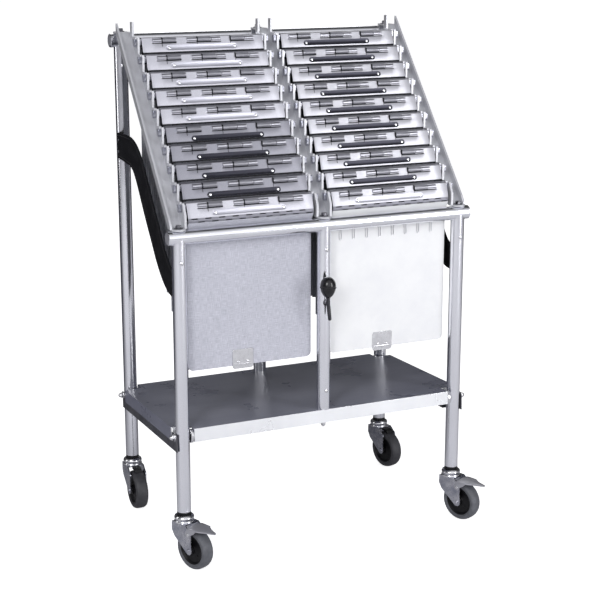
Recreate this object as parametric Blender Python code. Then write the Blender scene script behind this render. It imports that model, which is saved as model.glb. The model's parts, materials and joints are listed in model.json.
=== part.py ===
"""Two-column chart binder cart: tube frame, stepped hanging rails, twenty hanging binders, four casters.

Every length below is in millimetres; MM turns it into metres where vertices are made.
X runs to the right, Y to the rear, Z up. The origin is on the floor at the centre of the bounding box.
"""
import math

import bmesh
import bpy
from mathutils import Matrix, Vector

MM = 0.001
GAP = 0.3                      # clearance between touching pieces
ROUND_STEPS = 8                # facets of a half round
CORNER_STEPS = 6               # facets of a rounded corner
SMOOTH_ANGLE = 35.0            # degrees; sharper edges stay hard

# Where the frame stands: the tubes, seen from above
SHIFT_X = -7.89                # centre of the caster square, from the bounding box centre
SHIFT_Y = 28.88
COLUMN_PITCH = 275.0           # from one upright to the next
FRAME_DEPTH = 310.0            # front uprights to rear uprights
LEG_X = (-COLUMN_PITCH, 0.0, COLUMN_PITCH)
FRONT_Y = -FRAME_DEPTH / 2
REAR_Y = FRAME_DEPTH / 2

# Tubes
TUBE_R = 12.7
TUBE_WALL = 1.6
TUBE_SIDES = 24
CROSS_OVERHANG = 21.0          # cross tube beyond the outer upright's axis
FRONT_TUBE_Z = 604.0
REAR_TUBE_Z = 918.0
LEG_BOTTOM_Z = 102.0
COPE_REACH = 40.0

# Lower shelf: a folded sheet tray, open below, that slopes down to the rear.
# Its Y runs along the slope from the front uprights' axis, and its Z up from its top face.
SHELF_Z = 258.0                # top face at the front uprights' axis
SHELF_TILT = 3.0
SHELF_SHEET = 1.5
SHELF_FLANGE = 24.5
SHELF_SIDE_X = COLUMN_PITCH + 16.3
SHELF_FRONT = -12.0
SHELF_REAR = 322.4
NOTCH_X = COLUMN_PITCH - 18.0  # inner side of the corner notch
NOTCH_FRONT = 16.0
NOTCH_REAR = 294.4
RUNNER_X = SHELF_SIDE_X - SHELF_SHEET - GAP
RUNNER_SHEET = 1.5
RUNNER_ENDS = (-9.0, 319.0)
RUNNER_HEIGHTS = (-41.0, -9.0)
FOOT_X = (COLUMN_PITCH - 13.0, RUNNER_X)
FOOT_ENDS = (18.0, 291.0)

# Stepped hanging rails
CHARTS = 10
STEP_Y = 25.5
STEP_Z = 29.5
RAIL_HALF = 15.0
FLANGE_SHEET = 4.0
WEB_SHEET = 3.0
WEB_SLOPE = 1.13
WEB_MID_Y = FRONT_Y + 153.0
WEB_MID_Z = 780.0
PLAIN_FLANGE_RISE = 18.0
PLAIN_NOSE = (1.5, 5.0)        # foot of the plain flange's end, behind and above the tongue's edge
PLAIN_START_Y = 9.0            # where it reaches its full height
FIRST_RISER_Y = FRONT_Y + 239.0
FIRST_TREAD_Z = 927.0
TAB_Y = (FRONT_Y + 272.0, FRONT_Y + 283.0)
TAB_TOP_Z = 953.0
RAIL_REAR_Y = FRONT_Y + 288.0
NOSE_FRONT_Y = FRONT_Y - 1.0
NOSE_TOP_Z = 642.0
TONGUE_R = 13.0

# Hanging binders, measured from the centre of their ears
EAR_INSET_Y = 7.0              # ear centre behind the riser of its step
EAR_DROP_Z = 8.5               # ear centre below the tread
EAR_HALF_Y = 5.0
EAR_TOP = 6.0
EAR_ROUND_Z = -4.0
EAR_REACH = 132.5              # ear tip from the column's centre
NOTCH_R = EAR_HALF_Y + 0.4
BINDER_HALF_X = 118.5
BINDER_DROP = 296.0
BINDER_REAR = 10.5
BINDER_FRONT = -2.0
SPINE_TOP = 8.0
SPINE_FRONT = (-14.0, -18.0)
SPINE_BACK = -5.0
HINGE_Z = -26.0
ELBOW_Z = -45.0
ELBOW_SLOPE = 1.2
ELBOW_INNER_RISE = 1.0         # inner side of the cover's elbow above the outer side
COVER_SHEET = 2.0
COVER_CORNER_R = 9.0
COVER_CUT_REACH = 30.0

# Cover clips of the two front binders
CLIP_SIZE = (40.0, 1.1, 36.0)
CLIP_BELOW = 6.0
CLIP_OFFSET_X = (-15.5, -10.5)

# Webbing straps at the two sides: centre line (distance behind the front upright, height)
STRAP_ROUTE = ((13.8, 516.0), (32.0, 516.0), (52.0, 523.0), (70.0, 537.0), (90.0, 559.0),
               (112.0, 590.0), (138.0, 625.0), (162.0, 660.0), (182.0, 688.0), (202.0, 709.0),
               (224.0, 720.0), (250.0, 723.0), (276.0, 724.0), (300.0, 724.0))
STRAP_WIDTH_ENDS = 48.0
STRAP_WIDTH_MIDDLE = 60.0
STRAP_SHEET = 3.0
STRAP_LEAN_X = 14.6            # outward at the rear end

# Utility hook on the middle upright
HOOK_ROD_R = 3.2
HOOK_Z = 463.0
KNOB_R = 15.0
KNOB_HALF_Z = 19.5
KNOB_OFFSET = (-8.0, -36.0)
KNOB_Z = 497.0
KNOB_NECK_R = 4.5
KNOB_SWELL = 0.12              # the knob is wider above its middle than below
# From the upright's axis, with heights above HOOK_Z
HOOK_ROUTE = ((0.0, -13.4, 0.0), (0.0, -17.5, -1.0), (0.0, -22.0, -6.0), (-1.0, -26.0, -15.0),
              (-2.0, -30.0, -23.0), (-4.0, -35.0, -25.0), (-6.0, -38.5, -20.0), (-7.5, -38.0, -8.0))

# Casters: swivel axis at the leg, wheel trailing along local -Y
WHEEL_R = 38.0
HUB_R = 27.0
TRAIL = 28.0
AXLE_R = 4.0
AXLE_BORE_R = 4.3
AXLE_END = 0.8                 # bolt beyond the fork's outer face
AXLE_SIDES = 16
SOCKET_STEM = 32.0
SWIVEL_TOP_Z = 96.0
SWIVEL_R = 17.5
SWIVEL_SHOULDER = (3.0, 2.5)   # bevel at the raceway's upper rim
RACE_BELOW = 3.0               # raceway below the crown's top face
CROWN_Z = 84.0
CROWN_SHEET = 2.5
CROWN_ENDS = (-19.0, 14.0)
FORK_INNER = 14.5
FORK_SHEET = 2.5
FORK_OUTER = FORK_INNER + FORK_SHEET
# Side plate, in (trail distance, height)
FORK_BACK = ((-15.0, CROWN_Z), (-15.5, 68.0), (-9.0, 57.0))
FORK_WAIST = (34.5, 52.0)
FORK_TOP = (20.0, CROWN_Z)
AXLE_EYE_R = 8.0
PEDAL_EYE_R = 6.5
PEDAL_PIVOT = (29.0, 69.0)
PEDAL_SHEET = 2.2
PEDAL_HALF = FORK_OUTER + GAP + PEDAL_SHEET
# Right half of the foot plate from above, in (across, trail distance)
PEDAL_PLATE = ((PEDAL_HALF, 26.0), (PEDAL_HALF, 50.0), (9.0, 64.0), (2.5, 82.0))
PEDAL_DROP = 3.5               # plate's lower face below the crown's top face
PEDAL_EAR_R = 6.0
PEDAL_EAR_Y = (3.0, -21.0)     # where the ear meets the plate
WHEEL_SIDES = 32
# Wheel sections, in (radius, distance along the axle)
HUB_HALF = ((AXLE_BORE_R, 13.0), (9.0, 13.0), (9.0, 8.0), (21.0, 6.5), (HUB_R, 11.0))
TYRE_HALF = ((HUB_R + GAP, 11.0), (WHEEL_R - 5.0, 12.0), (WHEEL_R - 1.2, 8.5), (WHEEL_R, 4.5))
CASTERS = (("front_left", -1, -1, 23.0, True), ("front_right", 1, -1, 23.0, True),
           ("rear_left", -1, 1, 0.0, False), ("rear_right", 1, 1, 12.0, False))


def clear_scene():
    for obj in list(bpy.data.objects):
        bpy.data.objects.remove(obj, do_unlink=True)


def material(name, colour, roughness, metallic=0.0):
    """One Principled material with a plain colour."""
    mat = bpy.data.materials.new(name)
    mat.use_nodes = True
    shader = mat.node_tree.nodes["Principled BSDF"]
    shader.inputs["Base Color"].default_value = (*colour, 1.0)
    shader.inputs["Roughness"].default_value = roughness
    shader.inputs["Metallic"].default_value = metallic
    mat.diffuse_color = (*colour, 1.0)
    return mat


def world(x, y, z):
    """A point of the frame in world millimetres, with the bounding box centred."""
    return Vector((x + SHIFT_X, y + SHIFT_Y, z))


def add_object(name, bm, mat, at=(0.0, 0.0, 0.0), parent=None, smooth=False):
    """Turn a bmesh in millimetres into a named object; at is its origin in millimetres."""
    bmesh.ops.recalc_face_normals(bm, faces=bm.faces)
    bmesh.ops.scale(bm, vec=(MM, MM, MM), verts=bm.verts)
    mesh = bpy.data.meshes.new(name)
    bm.to_mesh(mesh)
    bm.free()
    if smooth:
        mesh.shade_smooth()
        mesh.set_sharp_from_angle(angle=math.radians(SMOOTH_ANGLE))
    if mat:
        mesh.materials.append(mat)
    obj = bpy.data.objects.new(name, mesh)
    bpy.context.collection.objects.link(obj)
    obj.location = Vector(at) * MM
    obj.parent = parent
    return obj


def add_tool(name, bm, at=(0.0, 0.0, 0.0), parent=None):
    """A body that only serves as the second half of a Boolean."""
    obj = add_object(name, bm, None, at, parent)
    obj.hide_render = True
    obj.display_type = "WIRE"
    return obj


def boolean(obj, tool, operation):
    mod = obj.modifiers.new(tool.name, "BOOLEAN")
    mod.solver = "EXACT"
    mod.operation = operation
    mod.object = tool


def prism(outline, axis, low, high):
    """Extrude a closed 2D outline along X, Y or Z; outline holds the other two coordinates in order."""
    bm = bmesh.new()

    def point(a, b, c):
        return {"X": (c, a, b), "Y": (a, c, b), "Z": (a, b, c)}[axis]

    start = [bm.verts.new(point(a, b, low)) for a, b in outline]
    end = [bm.verts.new(point(a, b, high)) for a, b in outline]
    bm.faces.new(start)
    bm.faces.new(end[::-1])
    for i, vert in enumerate(start):
        j = (i + 1) % len(start)
        bm.faces.new((vert, start[j], end[j], end[i]))
    return bm


def block(low, high):
    outline = ((low[0], low[1]), (high[0], low[1]), (high[0], high[1]), (low[0], high[1]))
    return prism(outline, "Z", low[2], high[2])


def turned(profile, sides, ends_on_axis=True):
    """Turn a list of (radius, height) about Z; a profile off the axis closes on itself."""
    bm = bmesh.new()
    rings = []
    for radius, height in profile:
        if radius == 0.0:
            rings.append([bm.verts.new((0.0, 0.0, height))] * sides)
            continue
        angles = (2 * math.pi * k / sides for k in range(sides))
        rings.append([bm.verts.new((radius * math.cos(a), radius * math.sin(a), height)) for a in angles])
    pairs = list(zip(rings, rings[1:]))
    if not ends_on_axis:
        pairs.append((rings[-1], rings[0]))
    for lower, upper in pairs:
        for k in range(sides):
            m = (k + 1) % sides
            corners = dict.fromkeys((lower[k], lower[m], upper[m], upper[k]))
            bm.faces.new(list(corners))
    return bm


def rotate(bm, axis, degrees):
    bmesh.ops.rotate(bm, cent=(0, 0, 0), matrix=Matrix.Rotation(math.radians(degrees), 3, axis),
                     verts=bm.verts)
    return bm


def shift(bm, vec):
    bmesh.ops.translate(bm, vec=Vector(vec), verts=bm.verts)
    return bm


def arc(centre, radius, start, end, count):
    """Points of an arc, angles in degrees."""
    points = []
    for k in range(count + 1):
        angle = math.radians(start + (end - start) * k / count)
        points.append((centre[0] + radius * math.cos(angle), centre[1] + radius * math.sin(angle)))
    return points


def tube(length, radius=TUBE_R, wall=TUBE_WALL):
    """A hollow tube standing on the origin."""
    inner = radius - wall
    profile = ((inner, 0.0), (radius, 0.0), (radius, length), (inner, length))
    return turned(profile, TUBE_SIDES, ends_on_axis=False)


def rod(radius, half, sides):
    """A solid round bar along X, centred on the origin."""
    profile = ((0.0, -half), (radius, -half), (radius, half), (0.0, half))
    return rotate(turned(profile, sides), "Y", 90)


# ---------------------------------------------------------------- frame

def cross_tube(name, y, z, mat):
    half = COLUMN_PITCH + CROSS_OVERHANG
    bm = shift(rotate(tube(2 * half), "Y", 90), (-half, 0, 0))
    return add_object(name, bm, mat, world(0, y, z), smooth=True)


def upright(name, x, y, low, cross_z, mat):
    """A leg whose top end is coped to sit under its cross tube."""
    leg = add_object(name, tube(cross_z - low), mat, world(x, y, low), smooth=True)
    cope = rod(TUBE_R + GAP, COPE_REACH, TUBE_SIDES)
    boolean(leg, add_tool(name + "_cope", cope, world(x, y, cross_z)), "DIFFERENCE")
    return leg


def build_frame(mat):
    cross_tube("front_cross_tube", FRONT_Y, FRONT_TUBE_Z, mat)
    cross_tube("rear_cross_tube", REAR_Y, REAR_TUBE_Z, mat)
    for side, x in zip((-1, 0, 1), LEG_X):
        place = {-1: "left", 0: "middle", 1: "right"}[side]
        for row, y, cross_z in (("front", FRONT_Y, FRONT_TUBE_Z), ("rear", REAR_Y, REAR_TUBE_Z)):
            name = "%s_%s_upright" % (row, place)
            if side:
                upright(name, x, y, LEG_BOTTOM_Z, cross_z, mat)
            else:
                stand_on_shelf(upright(name, x, y, SHELF_Z - SHELF_FLANGE, cross_z, mat), y)


# ---------------------------------------------------------------- shelf

def shelf_frame():
    """An empty on the front uprights' axis that carries the tray's slope."""
    empty = bpy.data.objects.get("shelf_frame")
    if empty is None:
        empty = bpy.data.objects.new("shelf_frame", None)
        bpy.context.collection.objects.link(empty)
        empty.location = world(0, FRONT_Y, SHELF_Z) * MM
        empty.rotation_euler = (-math.radians(SHELF_TILT), 0, 0)
    return empty


def stand_on_shelf(leg, y):
    """Cut a middle upright's foot parallel to the tray, just above it."""
    reach = 2 * TUBE_R
    near = y - FRONT_Y
    cut = block((-reach, near - reach, -2 * SHELF_FLANGE), (reach, near + reach, GAP))
    boolean(leg, add_tool(leg.name + "_foot", cut, (0, 0, 0), shelf_frame()), "DIFFERENCE")


def shelf_outline():
    """Tray seen from above: a rectangle with its corners notched around the uprights."""
    sx, nx = SHELF_SIDE_X, NOTCH_X
    right = ((nx, SHELF_FRONT), (nx, NOTCH_FRONT), (sx, NOTCH_FRONT),
             (sx, NOTCH_REAR), (nx, NOTCH_REAR), (nx, SHELF_REAR))
    return right + tuple((-x, y) for x, y in reversed(right))


def build_shelf(mat, runner_mat):
    empty = shelf_frame()
    low = -SHELF_FLANGE
    shelf = add_object("lower_shelf", prism(shelf_outline(), "Z", low, 0.0), mat, (0, 0, 0), empty)
    t = SHELF_SHEET
    wide, narrow = SHELF_SIDE_X - t, NOTCH_X - t
    spans = (("wide", (-wide, NOTCH_FRONT + t), (wide, NOTCH_REAR - t)),
             ("long", (-narrow, SHELF_FRONT + t), (narrow, SHELF_REAR - t)))
    for label, start, end in spans:
        hollow = block((*start, low - t), (*end, -t))
        boolean(shelf, add_tool("shelf_hollow_" + label, hollow, (0, 0, 0), empty), "DIFFERENCE")
    for side, place in ((-1, "left"), (1, "right")):
        build_runner(place, side, runner_mat)
        x_low, x_high = sorted((side * (RUNNER_X - RUNNER_SHEET - GAP), side * (RUNNER_X + GAP)))
        for end, y_low, y_high in (("front", NOTCH_FRONT - t, NOTCH_FRONT + 2 * t),
                                   ("rear", NOTCH_REAR - 2 * t, NOTCH_REAR + t)):
            slot = block((x_low, y_low, low - t), (x_high, y_high, -t))
            tool = add_tool("shelf_slot_%s_%s" % (end, place), slot, (0, 0, 0), empty)
            boolean(shelf, tool, "DIFFERENCE")


def build_runner(place, side, mat):
    """Steel angle between the uprights and the tray's side: a web with a foot turned inward."""
    low, high = RUNNER_HEIGHTS
    x_low, x_high = sorted((side * RUNNER_X, side * (RUNNER_X - RUNNER_SHEET)))
    web = block((x_low, RUNNER_ENDS[0], low), (x_high, RUNNER_ENDS[1], high))
    runner = add_object("shelf_runner_" + place, web, mat, (0, 0, 0), shelf_frame())
    x_low, x_high = sorted(side * x for x in FOOT_X)
    foot = block((x_low, FOOT_ENDS[0], low), (x_high, FOOT_ENDS[1], low + RUNNER_SHEET))
    boolean(runner, add_tool("runner_foot_" + place, foot, (0, 0, 0), shelf_frame()), "UNION")


# ---------------------------------------------------------------- rails

def web_z(y):
    return WEB_MID_Z + WEB_SLOPE * (y - WEB_MID_Y)


def ear_centre(index):
    """Height and depth of a binder's ears; index 0 is the rearmost binder."""
    return (FIRST_RISER_Y + EAR_INSET_Y - STEP_Y * index, FIRST_TREAD_Z - EAR_DROP_Z - STEP_Z * index)


def toothed_outline():
    """Side view of a stepped flange: tongue end, nose, steps with U notches, rear tab."""
    root = WEB_SHEET / 2
    front_low = FRONT_TUBE_Z + TUBE_R + GAP + root
    last = CHARTS - 1
    points = [(NOSE_FRONT_Y, front_low), (NOSE_FRONT_Y, NOSE_TOP_Z)]
    for index in range(last, -1, -1):
        tread = FIRST_TREAD_Z - STEP_Z * index
        y, z = ear_centre(index)
        points.append((FIRST_RISER_Y - STEP_Y * index, tread))
        points.append((y - NOTCH_R, tread))
        points += arc((y, z + EAR_ROUND_Z), NOTCH_R, 180, 360, ROUND_STEPS)
        points.append((y + NOTCH_R, tread))
        if index:
            points.append((FIRST_RISER_Y - STEP_Y * (index - 1), tread))
    points += [(TAB_Y[0], FIRST_TREAD_Z), (TAB_Y[0], TAB_TOP_Z), (TAB_Y[1], TAB_TOP_Z)]
    points.append((TAB_Y[1], web_z(TAB_Y[1]) - root))
    points.append((web_front_y(), front_low))
    return points


def web_front_y():
    """Where the sloping web meets the front tongue."""
    return WEB_MID_Y + (FRONT_TUBE_Z + TUBE_R + GAP + WEB_SHEET - WEB_MID_Z) / WEB_SLOPE


def plain_outline():
    """Side view of an outer flange: a straight band that dies out at the front tongue."""
    root = WEB_SHEET / 2
    front_low = FRONT_TUBE_Z + TUBE_R + GAP + root
    start_y = NOSE_FRONT_Y + PLAIN_START_Y
    return [(NOSE_FRONT_Y, front_low), (NOSE_FRONT_Y + PLAIN_NOSE[0], front_low + PLAIN_NOSE[1]),
            (start_y, web_z(start_y) + PLAIN_FLANGE_RISE),
            (RAIL_REAR_Y, web_z(RAIL_REAR_Y) + PLAIN_FLANGE_RISE),
            (RAIL_REAR_Y, web_z(RAIL_REAR_Y) - root), (web_front_y(), front_low)]


def web_outline():
    """Side view of the web: front tongue on its tube, slope, rear tongue on its tube."""
    t = WEB_SHEET
    front_z = FRONT_TUBE_Z + TUBE_R + GAP
    rear_z = REAR_TUBE_Z + TUBE_R + GAP
    front_y = web_front_y()
    rear_y = WEB_MID_Y + (rear_z + t - WEB_MID_Z) / WEB_SLOPE
    lean = t * math.tan(math.atan(WEB_SLOPE) / 2)
    return [(FRONT_Y, front_z), (front_y + lean, front_z), (rear_y + lean, rear_z), (REAR_Y, rear_z),
            (REAR_Y, rear_z + t), (rear_y, rear_z + t), (front_y, front_z + t), (FRONT_Y, front_z + t)]


def tongue_end(y, z):
    rim = ((0.0, 0.0), (TONGUE_R, 0.0), (TONGUE_R, WEB_SHEET), (0.0, WEB_SHEET))
    return shift(turned(rim, TUBE_SIDES), (0, y, z))


def build_rail(place, x, left_outline, right_outline, mat):
    """A channel with its web on the two cross tubes and a flange at each side."""
    at = world(x, 0, 0)
    name = place + "_rail"
    rail = add_object(name, prism(web_outline(), "X", -TONGUE_R, TONGUE_R), mat, at)
    pieces = [("left_flange", prism(left_outline, "X", -RAIL_HALF, -RAIL_HALF + FLANGE_SHEET)),
              ("right_flange", prism(right_outline, "X", RAIL_HALF - FLANGE_SHEET, RAIL_HALF)),
              ("front_end", tongue_end(FRONT_Y, FRONT_TUBE_Z + TUBE_R + GAP)),
              ("rear_end", tongue_end(REAR_Y, REAR_TUBE_Z + TUBE_R + GAP))]
    for part, bm in pieces:
        boolean(rail, add_tool("%s_%s" % (name, part), bm, at), "UNION")


def build_rails(mat):
    toothed, plain = toothed_outline(), plain_outline()
    build_rail("left", LEG_X[0], plain, toothed, mat)
    build_rail("middle", LEG_X[1], toothed, toothed, mat)
    build_rail("right", LEG_X[2], toothed, plain, mat)


# ---------------------------------------------------------------- binders

def ear_outline():
    """Side view of the ear bar: flat top, round bottom."""
    bottom = arc((0, EAR_ROUND_Z), EAR_HALF_Y, 180, 360, ROUND_STEPS)
    return [(-EAR_HALF_Y, EAR_TOP)] + bottom + [(EAR_HALF_Y, EAR_TOP)]


def binder_outline(front):
    """Side view of a binder hanging from its ears; front is the plane of its front face."""
    back = ELBOW_SLOPE * (front - BINDER_FRONT)
    return [SPINE_FRONT, (SPINE_BACK, SPINE_TOP), (BINDER_REAR, SPINE_TOP), (BINDER_REAR, -BINDER_DROP),
            (front, -BINDER_DROP), (front, ELBOW_Z + back), (SPINE_FRONT[0] + back, HINGE_Z),
            (SPINE_FRONT[0], HINGE_Z)]


def cover_outline():
    """Side view of the front cover: hinge edge over the cross tube, elbow, straight drop."""
    front, back = BINDER_FRONT, BINDER_FRONT + COVER_SHEET
    top = HINGE_Z - GAP
    return [(SPINE_FRONT[0], top), (SPINE_FRONT[0] + COVER_SHEET, top), (back, ELBOW_Z + ELBOW_INNER_RISE),
            (back, -BINDER_DROP), (front, -BINDER_DROP), (front, ELBOW_Z)]


def column_body(name, outline, mat, at):
    return add_object(name, prism(outline, "X", -BINDER_HALF_X, BINDER_HALF_X), mat, at)


def build_binder(column, x, index, mat):
    """One binder with its pages, as a closed block hanging from two round-bottomed ears."""
    y, z = ear_centre(index)
    at = world(x, y, z)
    name = "%s_binder_%02d" % (column, index + 1)
    front_one = index == CHARTS - 1
    front = BINDER_FRONT + (COVER_SHEET + GAP if front_one else 0.0)
    outline = binder_outline(front)
    binder = column_body(name, outline, mat, at)
    ears = prism(ear_outline(), "X", -EAR_REACH, EAR_REACH)
    boolean(binder, add_tool(name + "_ears", ears, at), "UNION")


def build_front_cover(column, x, clip_offset, mat, clip_mat):
    """The visible front cover of the foremost binder, with its rounded corners and its clip."""
    y, z = ear_centre(CHARTS - 1)
    at = world(x, y, z)
    cover = column_body(column + "_front_cover", cover_outline(), mat, at)
    r, w, d = COVER_CORNER_R, BINDER_HALF_X, BINDER_DROP
    rounded = [(-w, 0)] + arc((-w + r, -d + r), r, 180, 270, CORNER_STEPS)
    rounded += arc((w - r, -d + r), r, 270, 360, CORNER_STEPS) + [(w, 0)]
    tool = prism(rounded, "Y", -COVER_CUT_REACH, COVER_CUT_REACH)
    boolean(cover, add_tool(column + "_cover_shape", tool, at), "INTERSECT")
    wide, thick, tall = CLIP_SIZE
    rear = BINDER_FRONT - GAP
    low = -d - CLIP_BELOW
    clip = block((clip_offset - wide / 2, rear - thick, low), (clip_offset + wide / 2, rear, low + tall))
    add_object(column + "_cover_clip", clip, clip_mat, at)


def build_binders(mats):
    for column, side, clip_offset in (("left", -1, CLIP_OFFSET_X[0]), ("right", 1, CLIP_OFFSET_X[1])):
        x = side * COLUMN_PITCH / 2
        for index in range(CHARTS):
            build_binder(column, x, index, mats["binder"])
        build_front_cover(column, x, clip_offset, mats[column + "_cover"], mats["clip"])


# ---------------------------------------------------------------- soft and small parts

def strap_stations():
    """Centre, across direction and half width of the strap at each point of its route."""
    stations = []
    last = len(STRAP_ROUTE) - 1
    for k, (y, z) in enumerate(STRAP_ROUTE):
        before, after = STRAP_ROUTE[max(k - 1, 0)], STRAP_ROUTE[min(k + 1, last)]
        along = Vector((after[0] - before[0], after[1] - before[1])).normalized()
        middle = math.sin(math.pi * k / last)
        half = (STRAP_WIDTH_ENDS + (STRAP_WIDTH_MIDDLE - STRAP_WIDTH_ENDS) * middle) / 2
        stations.append((y, z, Vector((-along.y, along.x)), half))
    return stations


def build_strap(place, side, mat):
    """Flat webbing band beside the binders, from the front upright to the rear one."""
    bm = bmesh.new()
    rings = []
    for y, z, across, half in strap_stations():
        x = side * STRAP_LEAN_X * (y / FRAME_DEPTH)
        ring = []
        for edge, face in ((-1, -1), (1, -1), (1, 1), (-1, 1)):
            ring.append(bm.verts.new((x + face * STRAP_SHEET / 2, FRONT_Y + y + edge * half * across.x,
                                      z + edge * half * across.y)))
        rings.append(ring)
    for ring, following in zip(rings, rings[1:]):
        for k in range(4):
            m = (k + 1) % 4
            bm.faces.new((ring[k], ring[m], following[m], following[k]))
    bm.faces.new(rings[0])
    bm.faces.new(rings[-1][::-1])
    add_object("side_strap_" + place, bm, mat, world(side * COLUMN_PITCH, 0, 0))


def build_hook(rod_mat, knob_mat):
    """Bent rod on the middle upright with an egg-shaped knob on its free end."""
    curve = bpy.data.curves.new("hook_rod", "CURVE")
    curve.dimensions = "3D"
    curve.bevel_depth = HOOK_ROD_R * MM
    curve.bevel_resolution = 2
    curve.use_fill_caps = True
    route = [(x, y, HOOK_Z + rise) for x, y, rise in HOOK_ROUTE]
    route.append((*KNOB_OFFSET, KNOB_Z - KNOB_HALF_Z - GAP))
    spline = curve.splines.new("POLY")
    spline.points.add(len(route) - 1)
    for point, place in zip(spline.points, route):
        point.co = (*(Vector(place) * MM), 1.0)
    curve.materials.append(rod_mat)
    hook = bpy.data.objects.new("hook_rod", curve)
    bpy.context.collection.objects.link(hook)
    hook.location = world(0, FRONT_Y, 0) * MM
    profile = [(0.0, -KNOB_HALF_Z), (KNOB_NECK_R, -KNOB_HALF_Z)]
    for degrees in range(-65, 90, 15):
        swell = 1.0 + KNOB_SWELL * math.sin(math.radians(degrees))
        profile.append((KNOB_R * swell * math.cos(math.radians(degrees)),
                        KNOB_HALF_Z * math.sin(math.radians(degrees))))
    profile.append((0.0, KNOB_HALF_Z))
    at = world(KNOB_OFFSET[0], FRONT_Y + KNOB_OFFSET[1], KNOB_Z)
    add_object("hook_knob", turned(profile, TUBE_SIDES), knob_mat, at, smooth=True)


# ---------------------------------------------------------------- casters

def fork_side_outline():
    """Side plate, in (trail distance, height): raceway corner, axle eye, pedal eye."""
    axle_eye = arc((TRAIL, WHEEL_R), AXLE_EYE_R, 225, 360, CORNER_STEPS)
    pedal_eye = arc(PEDAL_PIVOT, PEDAL_EYE_R, -25, 80, CORNER_STEPS)
    return [*FORK_BACK, *axle_eye, FORK_WAIST, *pedal_eye, FORK_TOP]


def pedal_top_outline():
    """Foot plate from above, in (across, trail distance)."""
    return PEDAL_PLATE + tuple((-across, trail) for across, trail in reversed(PEDAL_PLATE))


def build_socket(place, x, y, mat):
    """Black expander ring under the leg with its stem inside the tube."""
    ring_low, ring_high = SWIVEL_TOP_Z + GAP, LEG_BOTTOM_Z - GAP
    stem = TUBE_R - TUBE_WALL - GAP
    profile = ((0.0, ring_low), (TUBE_R, ring_low), (TUBE_R, ring_high), (stem, ring_high),
               (stem, ring_high + SOCKET_STEM), (0.0, ring_high + SOCKET_STEM))
    add_object("%s_caster_socket" % place, turned(profile, TUBE_SIDES), mat, world(x, y, 0), smooth=True)


def build_fork(place, parent, mat):
    """Raceway, crown plate, two side plates and the axle bolt."""
    low = CROWN_Z - RACE_BELOW
    inset, drop = SWIVEL_SHOULDER
    rim = ((0.0, low), (SWIVEL_R, low), (SWIVEL_R, SWIVEL_TOP_Z - drop), (SWIVEL_R - inset, SWIVEL_TOP_Z),
           (0.0, SWIVEL_TOP_Z))
    fork = add_object("%s_caster_fork" % place, turned(rim, TUBE_SIDES), mat, (0, 0, 0), parent)
    crown = block((-FORK_OUTER, CROWN_ENDS[0], CROWN_Z - CROWN_SHEET), (FORK_OUTER, CROWN_ENDS[1], CROWN_Z))
    boolean(fork, add_tool(place + "_fork_crown", crown, (0, 0, 0), parent), "UNION")
    outline = [(-trail, z) for trail, z in fork_side_outline()]
    for side, label in ((-1, "left"), (1, "right")):
        low, high = sorted((side * FORK_INNER, side * FORK_OUTER))
        plate = prism(outline, "X", low, high)
        boolean(fork, add_tool("%s_fork_%s" % (place, label), plate, (0, 0, 0), parent), "UNION")
    bolt = shift(rod(AXLE_R, FORK_OUTER + AXLE_END, AXLE_SIDES), (0, -TRAIL, WHEEL_R))
    boolean(fork, add_tool(place + "_fork_axle", bolt, (0, 0, 0), parent), "UNION")


def build_wheel(place, parent, hub_mat, tyre_mat):
    """Hub on the axle and tyre on the hub; their origin is on the axle."""
    wheel = bpy.data.objects.new(place + "_wheel_axis", None)
    bpy.context.collection.objects.link(wheel)
    wheel.parent = parent
    wheel.location = Vector((0, -TRAIL, WHEEL_R)) * MM
    for part, half, mat in (("hub", HUB_HALF, hub_mat), ("tyre", TYRE_HALF, tyre_mat)):
        profile = [(radius, -along) for radius, along in half] + list(reversed(half))
        ring = rotate(turned(profile, WHEEL_SIDES, ends_on_axis=False), "Y", 90)
        add_object("%s_caster_%s" % (place, part), ring, mat, (0, 0, 0), wheel, smooth=True)


def build_pedal(place, parent, mat):
    """Pointed foot plate with two ears that pivot on the outside of the fork."""
    axis = bpy.data.objects.new(place + "_pedal_axis", None)
    bpy.context.collection.objects.link(axis)
    axis.parent = parent
    trail, height = PEDAL_PIVOT
    axis.location = Vector((0, -trail, height)) * MM
    low = CROWN_Z - PEDAL_DROP - height
    outline = [(x, trail - t) for x, t in pedal_top_outline()]
    plate = prism(outline, "Z", low, low + PEDAL_SHEET)
    pedal = add_object(place + "_brake_pedal", plate, mat, (0, 0, 0), axis)
    middle = low + PEDAL_SHEET / 2
    eye = arc((0, 0), PEDAL_EAR_R, 20, -200, ROUND_STEPS)
    ear = [(PEDAL_EAR_Y[0], middle), *eye, (PEDAL_EAR_Y[1], middle)]
    for side, label in ((-1, "left"), (1, "right")):
        x_low, x_high = sorted((side * (PEDAL_HALF - PEDAL_SHEET), side * PEDAL_HALF))
        tool = prism(ear, "X", x_low, x_high)
        boolean(pedal, add_tool("%s_pedal_%s" % (place, label), tool, (0, 0, 0), axis), "UNION")


def build_casters(mats):
    for place, side_x, side_y, heading, braked in CASTERS:
        x, y = side_x * COLUMN_PITCH, side_y * FRAME_DEPTH / 2
        build_socket(place, x, y, mats["black"])
        swivel = bpy.data.objects.new(place + "_swivel_axis", None)
        bpy.context.collection.objects.link(swivel)
        swivel.location = world(x, y, 0) * MM
        swivel.rotation_euler = (0, 0, math.radians(heading))
        build_fork(place, swivel, mats["zinc"])
        build_wheel(place, swivel, mats["black"], mats["tyre"])
        if braked:
            build_pedal(place, swivel, mats["zinc"])


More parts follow.
